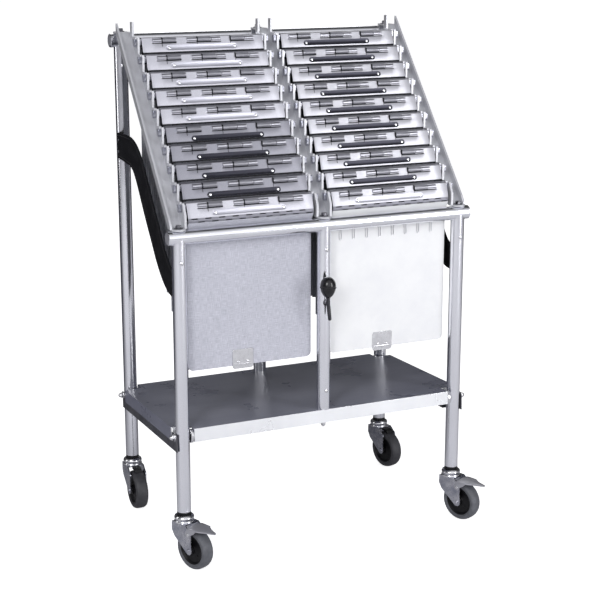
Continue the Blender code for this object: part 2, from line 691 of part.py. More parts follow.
def main():
    clear_scene()
    mats = {
        "frame": material("satin_aluminium", (0.72, 0.73, 0.76), 0.32, 1.0),
        "rail": material("rail_aluminium", (0.70, 0.70, 0.74), 0.30, 1.0),
        "shelf": material("slate_grey_paint", (0.20, 0.21, 0.24), 0.35),
        "steel": material("dark_steel", (0.16, 0.16, 0.17), 0.45, 0.6),
        "binder": material("binder_metal", (0.55, 0.55, 0.60), 0.35, 0.8),
        "left_cover": material("grey_linen_cover", (0.42, 0.43, 0.48), 0.75),
        "right_cover": material("white_cover", (0.88, 0.89, 0.91), 0.45),
        "clip": material("bright_clip", (0.80, 0.81, 0.84), 0.25, 1.0),
        "webbing": material("black_webbing", (0.015, 0.015, 0.018), 0.85),
        "black": material("black_plastic", (0.02, 0.02, 0.022), 0.35),
        "rod": material("dark_rod", (0.12, 0.12, 0.13), 0.30, 1.0),
        "zinc": material("zinc_plate", (0.60, 0.61, 0.66), 0.28, 1.0),
        "tyre": material("grey_rubber", (0.11, 0.11, 0.13), 0.60),
    }
    build_frame(mats["frame"])
    build_shelf(mats["shelf"], mats["steel"])
    build_rails(mats["rail"])
    build_binders(mats)
    for place, side in (("left", -1), ("right", 1)):
        build_strap(place, side, mats["webbing"])
    build_hook(mats["rod"], mats["black"])
    build_casters(mats)


main()
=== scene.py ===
"""Looks of the two-column chart binder cart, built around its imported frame.

Detail sizes are in millimetres and turned into metres by MM where vertices are made.
X runs to the right, Y to the rear, Z up, as in the frame.
"""
import json
import math

import bmesh
import bpy
from mathutils import Matrix, Vector


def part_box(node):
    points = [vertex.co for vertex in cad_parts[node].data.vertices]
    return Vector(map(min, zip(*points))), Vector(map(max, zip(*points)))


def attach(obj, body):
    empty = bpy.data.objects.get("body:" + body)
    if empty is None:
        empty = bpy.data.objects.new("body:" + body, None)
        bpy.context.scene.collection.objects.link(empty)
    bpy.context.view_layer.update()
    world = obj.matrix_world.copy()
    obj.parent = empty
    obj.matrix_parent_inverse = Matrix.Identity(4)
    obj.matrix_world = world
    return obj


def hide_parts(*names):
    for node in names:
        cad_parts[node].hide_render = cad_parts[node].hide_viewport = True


MM = 0.001
COLUMNS = ("left", "right")
CHARTS = 10
CASTERS = ("front_left", "front_right", "rear_left", "rear_right")
SIDES = ("left", "middle", "right")
OUTWARD = (("left", -1), ("right", 1))

# Camera and studio
CAMERA_AT = (-1.0590, -2.3963, 1.1251)
CAMERA_AZIMUTH = 23.86
CAMERA_PITCH = 13.59
CAMERA_LENS = 85.49
CAMERA_SHIFT_Y = -0.05
FLOOR_HALF = 40.0
FLOOR_GLOW = 0.78
ROOM_BRIGHT_WAY = (-0.10, -0.95, 0.20)
ROOM_RAMP = (0.20, 0.97, 0.07, 1.25)
DULL_FLOOR = ((0.85, 0.85, 0.88), (0.10, 0.10, 0.12))
ROOM_SEEN = 1.1                # room's strength straight into the camera
ROOM_TINT = (0.96, 0.965, 1.0, 1.0)
BOX_AIM = (0.0, 0.0, 0.5)
SOFT_BOXES = (("key_box", (-2.4, -2.6, 2.2), (0.9, 1.8), 46.0),
              ("right_box", (1.7, -2.9, 1.2), (0.6, 2.2), 34.0),
              ("back_box", (0.6, 2.6, 2.4), (2.0, 1.2), 16.0),
              ("left_box", (-2.8, 0.8, 1.2), (0.7, 2.0), 10.0))

# Tubes, rails and the tray's fasteners
TUBE_WALL = 1.6
TUBE_SEGMENTS = 64
RIM_ROUND = 0.8
TONGUE_TOP = 3.3               # rail tongue above its cross tube
RAIL_BOLT = (5.6, 6.0)         # radius, height
UPRIGHT_SCREW = (3.6, 2.3)
UPRIGHT_SCREWS = (("front", "left", 561.0), ("front", "middle", 560.0), ("front", "middle", 295.0),
                  ("front", "right", 559.0), ("rear", "left", 872.0), ("rear", "right", 872.0))
TRAY_BOLT_X = 14.4
TRAY_BOLT_Z = {"front": 243.5, "rear": 227.5}
TRAY_NUT_R = 5.4
TRAY_DOME = (4.4, 5.0)
TRAY_DOME_RISE = 10.0
MIDDLE_NUT_DROP = 25.8
MIDDLE_NUT_R = 5.2
SPACER = ((5.0, 0.0), (13.0, 0.0), (13.6, 0.6), (13.6, 4.6), (13.0, 5.2), (5.0, 5.2))
CAD_EDGES = {"lower_shelf": ("tray", 0.3), "shelf_runner_left": ("steel", 0.5),
             "shelf_runner_right": ("steel", 0.5), "left_rail": ("rail", 0.5), "middle_rail": ("rail", 0.5),
             "right_rail": ("rail", 0.5), "left_front_cover": ("left_cover", 0.4),
             "right_front_cover": ("right_cover", 0.4)}

# Binder, from the centre of its ears: Y to the rear, Z up
HALF_X = 118.5
EAR_REACH = 132.0
SPINE_LOW = (-14.0, -18.0)
SPINE_HIGH = (-5.0, 8.0)
SPINE_REAR = 10.5
SPINE_REAR_LOW = -16.0
HINGE_Z = -26.0
ELBOW_Z = -45.0
DROP = 296.0
PLATE = 1.2
PAGE_HALF_X = 108.0
BARREL_SPANS = ((-97.0, -79.0, False), (-78.0, -51.5, True), (-30.5, -11.0, False), (-10.0, 16.5, True),
                (17.5, 35.5, False), (55.5, 82.5, True), (83.5, 101.5, False))
SLIT_SPANS = ((-98.0, -51.0), (-31.5, 36.5), (55.0, 102.5))
SLIT_ROW = (15.6, 17.2)
BARREL_ROW = 21.8
PLAIN_BARREL_R = 4.3
KNUCKLE_R = 5.1
RIB_R = 0.38
STRIP_X = (-73.0, 66.0)
STRIP_ROW = (2.6, 12.4)
LOW_STRIP_DROP = 2.6
SHADED_CHARTS = range(6, 10)       # in the left column; their spines are painted darker, a painted shade for their more upright faces
HINGE_SLOT = (-20.7, -18.6)
# Rows of the hinge leaf's slots, drawn as painted shadow black plates
LEAF_SLOT = (-25.9, -24.3)
COLUMN_OFFSET = {"left": -1.5, "right": -6.0}
STRIP_PROUD = 0.7
STRIP_RIVET = (2.5, 1.1)
PIANO_PITCH = 25.4
PIANO_R = 2.1
PIANO_PIN_R = 0.9
EAR_R = 4.6
EAR_TOP = 5.6
EAR_ROUND_Z = -4.0
BOARD = 2.2
PAGE_TOP = -34.0
PAGE_STAGGER = (1.4, 0.2, 2.1, 0.8, 1.7, 0.4, 1.1)

# Cover clips and the white cover's wire loops
CLIP_LIP = (0.18, 0.26)        # shares of the clip's height
CLIP_RIVET_AT = 0.34
CLIP_RIVET = (2.4, 1.2)
LOOPS = 8
LOOP_FIRST = 20.0
LOOP_PITCH = 26.6
LOOP_TOP = 588.0
LOOP_WIRE_R = 0.8
LOOP_HALF = 2.0
LOOP_DROP = 16.0

# Side straps: centre line in (distance behind the front upright, height), section in shares of
# (half width, thickness)
STRAP_ROUTE = ((13.8, 516.0), (32.0, 516.0), (52.0, 523.0), (70.0, 537.0), (90.0, 559.0),
               (112.0, 590.0), (138.0, 625.0), (162.0, 660.0), (182.0, 688.0), (202.0, 709.0),
               (224.0, 720.0), (250.0, 723.0), (276.0, 724.0), (300.0, 724.0))
STRAP_HALF = (24.0, 30.0)
STRAP_LEAN_X = 14.6
STRAP_SHEET = 2.4
STRAP_SECTION = ((-1.0, 0.0), (-0.985, 0.42), (-0.93, 0.55), (-0.86, 0.42), (0.0, 0.5), (0.86, 0.42),
                 (0.93, 0.55), (0.985, 0.42), (1.0, 0.0))
STRAP_CUP = 0.88               # the band's middle leans in from its edges
STRAP_CUP_RUN = (13.0, 60.0)   # where that starts, and over what length it grows
STITCH_R = 0.35
STRAP_RIVET = (3.4, 1.6)

# Hook: rod route from the upright's axis, heights above HOOK_Z
HOOK_Z = 463.0
HOOK_ROD_R = 3.2
HOOK_ROUTE = ((0.0, -17.5, -1.0), (0.0, -22.0, -6.0), (-1.0, -26.0, -15.0), (-2.0, -30.0, -23.0),
              (-4.0, -35.0, -25.0), (-6.0, -38.5, -20.0), (-7.5, -38.0, -8.0), (-8.0, -36.0, 14.5))
HOOK_BOLT = (4.9, 3.6)
KNOB_SWELL = 0.12

# Wheels and casters: half sections in (radius, distance along the axle)
TYRE_TREAD = ((27.6, -10.6), (29.0, -11.6), (31.5, -12.0), (33.4, -11.8))
TYRE_ROUND = (4.4, 8.6)
TYRE_BEAD = ((29.6, 11.9), (30.0, 12.15), (30.4, 11.9), (30.0, 11.6))
HUB_HALF = ((4.4, -12.8), (8.4, -12.8), (8.8, -12.4), (8.8, -9.0), (10.2, -8.0), (20.5, -6.6), (23.5, -7.4),
            (25.4, -10.2), (26.0, -10.8), (27.2, -10.8))
HUB_PIN = (1.7, 1.5)
HUB_PIN_AT = (16.0, 7.0)
# Raceway ring, in (radius, height above the fork's top)
RACEWAY = ((12.8, -0.4), (14.4, 0.1), (17.2, -2.0), (18.2, -4.4), (18.0, -6.4), (16.6, -7.4), (16.2, -8.4),
           (17.6, -9.4), (18.4, -11.6), (17.6, -13.6), (12.8, -14.0))
AXLE_FACE = 17.6
AXLE_DOME = (3.3, 1.3)
# Thread guard, in (distance against the trail, height)
GUARD = ((-28.0, 78.6), (-20.0, 79.0), (-19.0, 82.8), (-29.0, 83.6), (-36.0, 81.2), (-38.5, 75.0),
         (-35.5, 74.6))
GUARD_HALF = 7.5
# Pedal plate, in (trail distance, half width) from its pivot
PEDAL_STATIONS = ((-2.0, 18.2), (6.0, 18.4), (14.0, 18.2), (20.0, 17.0), (25.0, 14.0), (30.0, 10.8),
                  (36.0, 8.2), (43.0, 5.8), (49.0, 3.6), (52.6, 1.2))
PEDAL_RISE = 12.6
PEDAL_BEND = 0.0005
PEDAL_CROWN = 1.6
PEDAL_SHEET = 2.0
PEDAL_EAR_X = 18.3
PEDAL_DOME_X = 19.3
PEDAL_DOME = (3.2, 1.6)


# ---------------------------------------------------------------- materials

class Graph:
    """A small wrapper that grows one material's node tree."""

    def __init__(self, name, colour, roughness, metallic=0.0, **uniform):
        self.material = bpy.data.materials.new(name)
        self.material.use_nodes = True
        self.tree = self.material.node_tree
        self.shader = self.tree.nodes["Principled BSDF"]
        self.shader.inputs["Base Color"].default_value = (*colour, 1.0)
        self.shader.inputs["Roughness"].default_value = roughness
        self.shader.inputs["Metallic"].default_value = metallic
        for socket, value in uniform.items():
            self.shader.inputs[socket.replace("_", " ")].default_value = value
        self.coordinates = self.tree.nodes.new("ShaderNodeTexCoord").outputs["Object"]

    def new(self, kind, **settings):
        node = self.tree.nodes.new(kind)
        for key, value in settings.items():
            setattr(node, key, value)
        return node

    def plug(self, value, socket):
        if isinstance(value, bpy.types.NodeSocket):
            self.tree.links.new(value, socket)
        else:
            socket.default_value = value

    def stretched(self, scale):
        mapping = self.new("ShaderNodeMapping")
        self.plug(self.coordinates, mapping.inputs["Vector"])
        mapping.inputs["Scale"].default_value = scale
        return mapping.outputs["Vector"]

    def noise(self, scale, detail=3.0, roughness=0.55):
        """Noise whose scale, in cells per metre, may differ along X, Y and Z."""
        node = self.new("ShaderNodeTexNoise")
        scale = scale if hasattr(scale, "__len__") else (scale, scale, scale)
        self.plug(self.stretched(scale), node.inputs["Vector"])
        node.inputs["Scale"].default_value = 1.0
        node.inputs["Detail"].default_value = detail
        node.inputs["Roughness"].default_value = roughness
        return node.outputs["Fac"]

    def cells(self, scale):
        node = self.new("ShaderNodeTexVoronoi")
        self.plug(self.stretched((scale,) * 3), node.inputs["Vector"])
        node.inputs["Scale"].default_value = 1.0
        return node.outputs["Distance"]

    def axis(self, name, source=None):
        node = self.new("ShaderNodeSeparateXYZ")
        self.plug(source or self.coordinates, node.inputs[0])
        return node.outputs[name]

    def facing(self, name):
        """One component of the surface normal."""
        return self.axis(name, self.new("ShaderNodeNewGeometry").outputs["Normal"])

    def math(self, operation, a, b=0.0, clamp=False):
        node = self.new("ShaderNodeMath", operation=operation, use_clamp=clamp)
        self.plug(a, node.inputs[0])
        self.plug(b, node.inputs[1])
        return node.outputs[0]

    def total(self, first, first_share, second, second_share):
        """Two values added with their shares."""
        return self.math("ADD", self.math("MULTIPLY", first, first_share),
                         self.math("MULTIPLY", second, second_share))

    def spread(self, value, low, high, to_low=0.0, to_high=1.0):
        """Stretch a value from one range to another, clamped."""
        node = self.new("ShaderNodeMapRange")
        for socket, number in zip(node.inputs[1:5], (low, high, to_low, to_high)):
            socket.default_value = number
        self.plug(value, node.inputs[0])
        return node.outputs[0]

    def blend(self, factor, first, second):
        node = self.new("ShaderNodeMix", data_type="RGBA")
        self.plug(factor, node.inputs["Factor"])
        for socket, colour in ((node.inputs[6], first), (node.inputs[7], second)):
            self.plug(colour if isinstance(colour, bpy.types.NodeSocket) else (*colour, 1.0), socket)
        return node.outputs[2]

    def waves(self, axis, pitch_mm):
        """A sine along one axis, 0 to 1, repeating every pitch_mm."""
        turns = self.math("MULTIPLY", self.axis(axis), 2 * math.pi / (pitch_mm * MM))
        return self.spread(self.math("SINE", turns), -1.0, 1.0)

    def colour(self, socket):
        self.plug(socket, self.shader.inputs["Base Color"])

    def tint(self, value, low, high, dark, light):
        """Colour from dark to light as a value goes from low to high."""
        self.colour(self.blend(self.spread(value, low, high), dark, light))

    def gloss(self, value, low, high, smooth, rough):
        """Roughness that follows a value."""
        self.plug(self.spread(value, low, high, smooth, rough), self.shader.inputs["Roughness"])

    def relief(self, height, depth_mm, strength=1.0):
        node = self.new("ShaderNodeBump")
        node.inputs["Strength"].default_value = strength
        node.inputs["Distance"].default_value = depth_mm * MM
        self.plug(height, node.inputs["Height"])
        self.plug(node.outputs[0], self.shader.inputs["Normal"])


def scaled(colour, factor):
    """A lighter or darker version of a colour."""
    return tuple(min(1.0, factor * c) for c in colour)


def brushed_metal(name, colour, roughness, along, darker=0.82, metallic=1.0):
    """Drawn or rolled metal with fine lines along one axis, faint smudges and scratches."""
    graph = Graph(name, colour, roughness, metallic)
    fine, coarse = 2600.0, 26.0
    scale = [fine if axis != along else coarse for axis in "XYZ"]
    lines = graph.noise(scale, 4.0)
    smudge = graph.noise(14.0, 4.0, 0.6)
    shade = graph.total(lines, 0.55, smudge, 0.45)
    graph.tint(shade, 0.36, 0.64, scaled(colour, darker), colour)
    graph.gloss(shade, 0.3, 0.7, roughness - 0.07, roughness + 0.09)
    graph.relief(lines, 0.02, 0.35)
    return graph.material


def embossed_metal(name, colour, roughness, darker=0.8):
    """Sheet with a fine pebbled emboss, as on vinyl-faced aluminium."""
    graph = Graph(name, colour, roughness, 0.85)
    pebbles = graph.cells(1100.0)
    smudge = graph.noise(24.0, 4.0, 0.6)
    mixed = graph.total(pebbles, 0.5, smudge, 0.6)
    graph.tint(mixed, 0.3, 0.72, scaled(colour, darker), colour)
    graph.gloss(smudge, 0.3, 0.7, roughness - 0.05, roughness + 0.1)
    graph.relief(pebbles, 0.05, 0.4)
    return graph.material


def plated_steel():
    """Bright zinc plate: smooth, slightly clouded, bluish in places."""
    graph = Graph("bright_zinc_plate", (0.66, 0.67, 0.71), 0.18, 1.0)
    cloud = graph.noise(60.0, 4.0, 0.65)
    spots = graph.noise(420.0, 2.0)
    graph.tint(cloud, 0.35, 0.65, (0.34, 0.35, 0.41), (0.56, 0.56, 0.60))
    graph.gloss(graph.math("MULTIPLY", cloud, spots), 0.12, 0.4, 0.14, 0.34)
    graph.relief(spots, 0.02, 0.3)
    return graph.material


def chrome_steel(name="polished_fasteners", colour=(0.80, 0.80, 0.82)):
    """Polished metal with faint smears."""
    graph = Graph(name, colour, 0.12, 1.0)
    smear = graph.noise(180.0, 3.0)
    graph.gloss(smear, 0.3, 0.7, 0.07, 0.24)
    graph.tint(smear, 0.3, 0.7, scaled(colour, 0.86), colour)
    return graph.material


def shelf_paint():
    """Slate enamel on the tray's top; its folded front and rear edge is painted near white and partly
    metallic, a painted reflection of the lights.
    """
    graph = Graph("slate_enamel_tray", (0.16, 0.17, 0.20), 0.3, 0.0)
    cloud = graph.noise(9.0, 4.0, 0.6)
    rubbed = graph.noise((3.0, 260.0, 60.0), 4.0, 0.6)
    shade = graph.total(cloud, 0.7, rubbed, 0.3)
    paint = graph.blend(graph.spread(shade, 0.35, 0.65), (0.135, 0.140, 0.185), (0.20, 0.205, 0.26))
    # Painted reflection: surfaces facing front or rear are coloured near white
    front = graph.spread(graph.math("ABSOLUTE", graph.facing("Y")), 0.6, 0.8)
    graph.colour(graph.blend(front, paint, (0.86, 0.87, 0.89)))
    graph.plug(graph.math("MULTIPLY", front, 0.55), graph.shader.inputs["Metallic"])
    graph.gloss(cloud, 0.3, 0.7, 0.24, 0.38)
    return graph.material


def painted_shade_steel():
    """Angle steel painted dark grey for the shade under the tray, with a coarse grain."""
    graph = Graph("angle_steel_painted_shade", (0.10, 0.10, 0.115), 0.42, 0.6)
    grain = graph.noise(300.0, 4.0)
    cloud = graph.noise(20.0, 4.0)
    graph.tint(cloud, 0.35, 0.65, (0.075, 0.075, 0.09), (0.14, 0.14, 0.155))
    graph.gloss(grain, 0.3, 0.7, 0.34, 0.52)
    graph.relief(grain, 0.04, 0.4)
    return graph.material


def linen(name, light, dark, pitch=0.9):
    """Woven cover cloth: uneven threads both ways with slubs."""
    graph = Graph(name, light, 0.78, 0.0, Sheen_Weight=0.12)
    per_metre = 1.0 / (pitch * MM)
    weft = graph.noise((per_metre / 14, per_metre, per_metre), 2.0, 0.5)
    warp = graph.noise((per_metre, per_metre, per_metre / 14), 2.0, 0.5)
    over = graph.math("MULTIPLY", graph.waves("X", pitch), graph.waves("Z", pitch))
    threads = graph.total(weft, 0.5, warp, 0.5)
    mixed = graph.total(threads, 0.85, over, 0.15)
    age = graph.noise(12.0, 4.0)
    aged = graph.blend(graph.spread(age, 0.35, 0.65), light, scaled(light, 0.93))
    graph.tint(mixed, 0.34, 0.60, dark, aged)
    graph.gloss(mixed, 0.3, 0.6, 0.86, 0.68)
    graph.relief(mixed, 0.16, 0.7)
    return graph.material


def white_board():
    """Smooth laminated board: nearly plain, faint fibres and handling marks."""
    graph = Graph("white_laminate", (0.80, 0.805, 0.815), 0.4, 0.0, Coat_Weight=0.12)
    marks = graph.noise(16.0, 5.0, 0.65)
    fibre = graph.noise((1400.0, 900.0, 500.0), 3.0)
    graph.tint(marks, 0.38, 0.62, (0.765, 0.77, 0.785), (0.81, 0.815, 0.82))
    graph.gloss(fibre, 0.3, 0.7, 0.34, 0.5)
    graph.relief(fibre, 0.025, 0.35)
    return graph.material


def paper():
    """A block of pages: thin edges stacked along Y."""
    graph = Graph("page_block", (0.82, 0.81, 0.78), 0.85)
    leaf = graph.noise((3.0, 3600.0, 3.0), 2.0)
    warm = graph.noise(30.0, 3.0)
    shade = graph.total(leaf, 0.7, warm, 0.3)
    graph.tint(shade, 0.38, 0.6, (0.58, 0.57, 0.55), (0.88, 0.87, 0.84))
    graph.relief(leaf, 0.15, 0.6)
    return graph.material


def webbing():
    """Black woven strap: ribs across, a dull sheen and a trace of dust."""
    graph = Graph("black_webbing", (0.010, 0.010, 0.012), 0.85, 0.0, Specular_IOR_Level=0.15)
    ribs = graph.waves("Z", 1.3)
    cross = graph.waves("Y", 1.3)
    weave = graph.math("MAXIMUM", ribs, cross)
    dust = graph.noise(45.0, 5.0, 0.65)
    graph.tint(dust, 0.45, 0.75, (0.006, 0.006, 0.008), (0.016, 0.016, 0.019))
    graph.gloss(weave, 0.0, 1.0, 0.95, 0.75)
    graph.relief(weave, 0.25, 0.8)
    return graph.material


def rubber(name, colour):
    """Moulded tread rubber with a dusty, slightly mottled face."""
    graph = Graph(name, colour, 0.55)
    dust = graph.noise(70.0, 5.0, 0.65)
    grain = graph.noise(1500.0, 2.0)
    graph.tint(dust, 0.42, 0.68, colour, scaled(colour, 1.5))
    graph.gloss(dust, 0.3, 0.7, 0.46, 0.68)
    graph.relief(grain, 0.05, 0.5)
    return graph.material


def moulded(name, colour, roughness, coat=0.0):
    """Moulded plastic with a fine grain."""
    graph = Graph(name, colour, roughness, 0.0, Coat_Weight=coat, Coat_Roughness=0.06,
                  Specular_IOR_Level=0.2)
    grain = graph.noise(1300.0, 2.0)
    cloud = graph.noise(50.0, 3.0)
    light = tuple(min(1.0, c * 1.6 + 0.004) for c in colour)
    graph.tint(cloud, 0.35, 0.7, colour, light)
    graph.gloss(cloud, 0.3, 0.7, max(0.05, roughness - 0.08), roughness + 0.1)
    graph.relief(grain, 0.02, 0.3)
    return graph.material


def polished_strip(name, colour, roughness):
    """Concave polished label channel; its long soft lighter streaks are painted reflections, and the same
    streaks vary roughness and relief.
    """
    graph = Graph(name, colour, roughness, 1.0)
    streak_and_painted_reflection = graph.noise((9.0, 160.0, 160.0), 3.0, 0.6)
    # Painted reflection: lighter streaks in the channel's colour
    graph.tint(streak_and_painted_reflection, 0.42, 0.66, colour, scaled(colour, 1.45))
    graph.gloss(streak_and_painted_reflection, 0.3, 0.7, roughness, roughness + 0.14)
    graph.relief(streak_and_painted_reflection, 0.1, 0.4)
    return graph.material


def make_materials():
    silver = (0.90, 0.905, 0.95)
    return {
        "tube_x": brushed_metal("satin_tube_along_x", silver, 0.15, "X", 0.94),
        "tube_z": brushed_metal("satin_tube_along_z", silver, 0.15, "Z", 0.94),
        "rail": brushed_metal("mill_finish_rail", (0.66, 0.665, 0.70), 0.36, "Y", 0.86, 0.45),
        "tray": shelf_paint(),
        "steel": painted_shade_steel(),
        "zinc": plated_steel(),
        "pedal": brushed_metal("zinc_pedal_plate", (0.46, 0.46, 0.50), 0.34, "Y", 0.84, 0.5),
        "chrome": chrome_steel(),
        "dark_chrome": chrome_steel("dark_fasteners", (0.22, 0.22, 0.24)),
        "clip": chrome_steel("stamped_clip", (0.86, 0.86, 0.88)),
        "left_spine": embossed_metal("embossed_spine", (0.50, 0.50, 0.55), 0.42),
        # Painted shade: a darker copy of the embossed spine, for charts 6 to 9 of the left column, the front
        # binders' lip and the piano hinge
        "painted_shade_spine": embossed_metal("painted_shade_spine", (0.29, 0.29, 0.33), 0.45),
        "right_spine": embossed_metal("bright_spine", (0.49, 0.49, 0.53), 0.40, 0.84),
        "plain_barrel": brushed_metal("bright_barrel", (0.40, 0.40, 0.44), 0.34, "X", 0.92),
        "knuckle": brushed_metal("ribbed_knuckle", (0.40, 0.40, 0.44), 0.36, "X", 0.7),
        # Painted shadow: near-black for the spine's inside, its slots and gaps, standing in for the shade
        # there
        "shadow": moulded("painted_shadow_black", (0.012, 0.012, 0.015), 0.6),
        # Painted reflection: one polished channel in a dark and a light copy, the dark one shown reflecting
        # shade, the light one reflecting the bright room
        "strip_painted_dark_reflection": polished_strip("label_channel_painted_dark_reflection", (0.028, 0.028, 0.036), 0.24),
        "strip_painted_light_reflection": polished_strip("label_channel_painted_light_reflection", (0.40, 0.40, 0.45), 0.30),
        "board": linen("binder_board_cloth", (0.42, 0.43, 0.47), (0.25, 0.26, 0.30)),
        "left_cover": linen("grey_linen_cover", (0.60, 0.605, 0.67), (0.36, 0.365, 0.42)),
        "right_cover": white_board(),
        "paper": paper(),
        "webbing": webbing(),
        "thread": linen("black_stitching", (0.05, 0.05, 0.055), (0.02, 0.02, 0.022), 0.5),
        "light_tyre": rubber("light_grey_tyre", (0.085, 0.088, 0.10)),
        "dark_tyre": rubber("dark_grey_tyre", (0.035, 0.035, 0.040)),
        "black": moulded("black_moulding", (0.004, 0.004, 0.005), 0.38),
        "knob": moulded("glossy_black_knob", (0.004, 0.004, 0.005), 0.12, 0.6),
        "plug": moulded("grey_end_plug", (0.20, 0.20, 0.22), 0.4),
        "rod": brushed_metal("blackened_rod", (0.09, 0.09, 0.10), 0.26, "Z", 0.7),
    }


# ---------------------------------------------------------------- mesh helpers

def link(name, mesh, at=(0.0, 0.0, 0.0)):
    obj = bpy.data.objects.new(name, mesh)
    bpy.context.scene.collection.objects.link(obj)
    obj.location = at
    return obj


def to_mesh(name, bm, mats, smooth_angle=32.0):
    """Finish a bmesh made in millimetres as a mesh in metres with its materials."""
    bmesh.ops.recalc_face_normals(bm, faces=bm.faces)
    bmesh.ops.scale(bm, vec=(MM, MM, MM), verts=bm.verts)
    mesh = bpy.data.meshes.new(name)
    bm.to_mesh(mesh)
    bm.free()
    for mat in mats:
        mesh.materials.append(mat)
    mesh.shade_smooth()
    mesh.set_sharp_from_angle(angle=math.radians(smooth_angle))
    return mesh


def piece(name, bm, mats, body, instead_of=None, smooth_angle=32.0, edge=None):
    """One visible piece that moves with a body; edge is a bevel's width."""
    obj = link(name, to_mesh(name, bm, mats, smooth_angle))
    if edge:
        bevel(obj, edge)
    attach(obj, body)
    if instead_of:
        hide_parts(instead_of)
    return obj


def thicken(obj, width_mm, offset):
    """Give a sheet its thickness."""
    solid = obj.modifiers.new("sheet", "SOLIDIFY")
    solid.thickness = width_mm * MM
    solid.offset = offset


def bevel(obj, width_mm, segments=2, angle=32.0):
    mod = obj.modifiers.new("edge", "BEVEL")
    mod.width = width_mm * MM
    mod.segments = segments
    mod.limit_method = "ANGLE"
    mod.angle_limit = math.radians(angle)
    mod.use_clamp_overlap = True
    return obj


def add_prism(bm, outline, low, high, axis="X", slot=0):
    """Extrude a closed outline along X or Y; the outline holds the other two coordinates in order."""

    def place(a, b, c):
        return (c, a, b) if axis == "X" else (a, c, b)

    start = [bm.verts.new(place(a, b, low)) for a, b in outline]
    end = [bm.verts.new(place(a, b, high)) for a, b in outline]
    faces = [bm.faces.new(start), bm.faces.new(end[::-1])]
    for i, vert in enumerate(start):
        j = (i + 1) % len(start)
        faces.append(bm.faces.new((vert, start[j], end[j], end[i])))
    for face in faces:
        face.material_index = slot
    return start + end


def add_lathe(bm, profile, segments, matrix=None, slot=0, closed=False):
    """Turn (radius, height) pairs about Z, then place the result with a matrix."""
    matrix = matrix or Matrix.Identity(4)
    rings = []
    for radius, height in profile:
        if radius == 0.0:
            rings.append([bm.verts.new(matrix @ Vector((0, 0, height)))] * segments)
            continue
        ring = []
        for k in range(segments):
            angle = 2 * math.pi * k / segments
            point = Vector((radius * math.cos(angle), radius * math.sin(angle), height))
            ring.append(bm.verts.new(matrix @ point))
        rings.append(ring)
    pairs = list(zip(rings, rings[1:]))
    if closed:
        pairs.append((rings[-1], rings[0]))
    for lower, upper in pairs:
        for k in range(segments):
            m = (k + 1) % segments
            face = bm.faces.new(list(dict.fromkeys((lower[k], lower[m], upper[m], upper[k]))))
            face.material_index = slot


def add_cylinder(bm, at, direction, radius, length, segments, slot=0):
    """A plain closed cylinder that starts at a point."""
    profile = ((0.0, 0.0), (radius, 0.0), (radius, length), (0.0, length))
    add_lathe(bm, profile, segments, pointing(at, direction), slot)


def add_strand(bm, at, direction, length, radius, sides, slot=0):
    """A thin rod with pinched ends."""
    profile = ((0.0, 0.0), (radius, 0.3), (radius, length - 0.3), (0.0, length))
    add_lathe(bm, profile, sides, pointing(at, direction), slot)


def add_skin(bm, rings):
    """Quads between neighbouring closed rings, and a cap at each end."""
    for a, b in zip(rings, rings[1:]):
        for k in range(len(a)):
            m = (k + 1) % len(a)
            bm.faces.new((a[k], a[m], b[m], b[k]))
    bm.faces.new(rings[0])
    bm.faces.new(rings[-1][::-1])


def arc(centre, radius, start, end, count):
    """Points of an arc, angles in degrees."""
    points = []
    for k in range(count + 1):
        angle = math.radians(start + (end - start) * k / count)
        points.append((centre[0] + radius * math.cos(angle), centre[1] + radius * math.sin(angle)))
    return points


def pointing(at, direction):
    """A matrix that stands a lathe at a point with its axis along a direction."""
    turn = Vector(direction).to_track_quat("Z", "Y").to_matrix().to_4x4()
    return Matrix.Translation(Vector(at)) @ turn


def in_mm(node):
    """Lowest and highest corner of a frame node, in millimetres."""
    low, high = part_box(node)
    return low / MM, high / MM


# ---------------------------------------------------------------- fasteners

def dome_profile(radius, height, skirt=0.6):
    """Half section of a round head above a short straight skirt."""
    points = [(0.0, 0.0), (radius, 0.0), (radius, skirt)]
    for degrees in range(15, 91, 15):
        a = math.radians(degrees)
        reach = radius * math.cos(a) if degrees < 90 else 0.0
        points.append((reach, skirt + (height - skirt) * math.sin(a)))
    return points


def add_dome(bm, at, direction, radius, height, slot=0):
    """A round head that stands at a point."""
    add_lathe(bm, dome_profile(radius, height), 28, pointing(at, direction), slot)


def add_hex_bolt(bm, at, direction, radius, height):
    """Flanged washer, hexagon head with a chamfered top and a shallow centre dimple."""
    matrix = pointing(at, direction)
    rim, lip = radius * 1.45, radius * 1.3
    add_lathe(bm, ((0.0, 0.0), (rim, 0.0), (rim, 0.9), (lip, 1.2), (0.0, 1.2)), 36, matrix)
    head = ((0.0, 1.1), (radius, 1.1), (radius, height - 0.8), (radius * 0.88, height),
            (radius * 0.3, height), (0.0, height - 0.5))
    add_lathe(bm, head, 6, matrix)


def add_acorn_nut(bm, at, direction, radius):
    """Hexagon nut closed by a dome, on a washer."""
    matrix = pointing(at, direction)
    cap, low, rise = radius * 0.8, 6.0, 4.6
    add_cylinder(bm, at, direction, radius * 1.4, 1.2, 36)
    nut = ((0.0, 1.1), (radius, 1.1), (radius, 5.4), (radius * 0.86, 6.2), (0.0, 6.2))
    add_lathe(bm, nut, 6, matrix)
    dome = [(cap * math.cos(math.radians(d)), low + rise * math.sin(math.radians(d)))
            for d in range(0, 90, 15)]
    add_lathe(bm, [(0.0, low), *dome, (0.0, low + rise)], 28, matrix)


def tube_axes():
    """Centre, ends and radius of each upright, from the box of its node."""
    axes = {}
    for side in SIDES:
        for depth in ("front", "rear"):
            low, high = in_mm("%s_%s_upright" % (depth, side))
            x, y = (low.x + high.x) / 2, (low.y + high.y) / 2
            axes[depth, side] = (x, y, low.z, high.z, (high.x - low.x) / 2)
    return axes


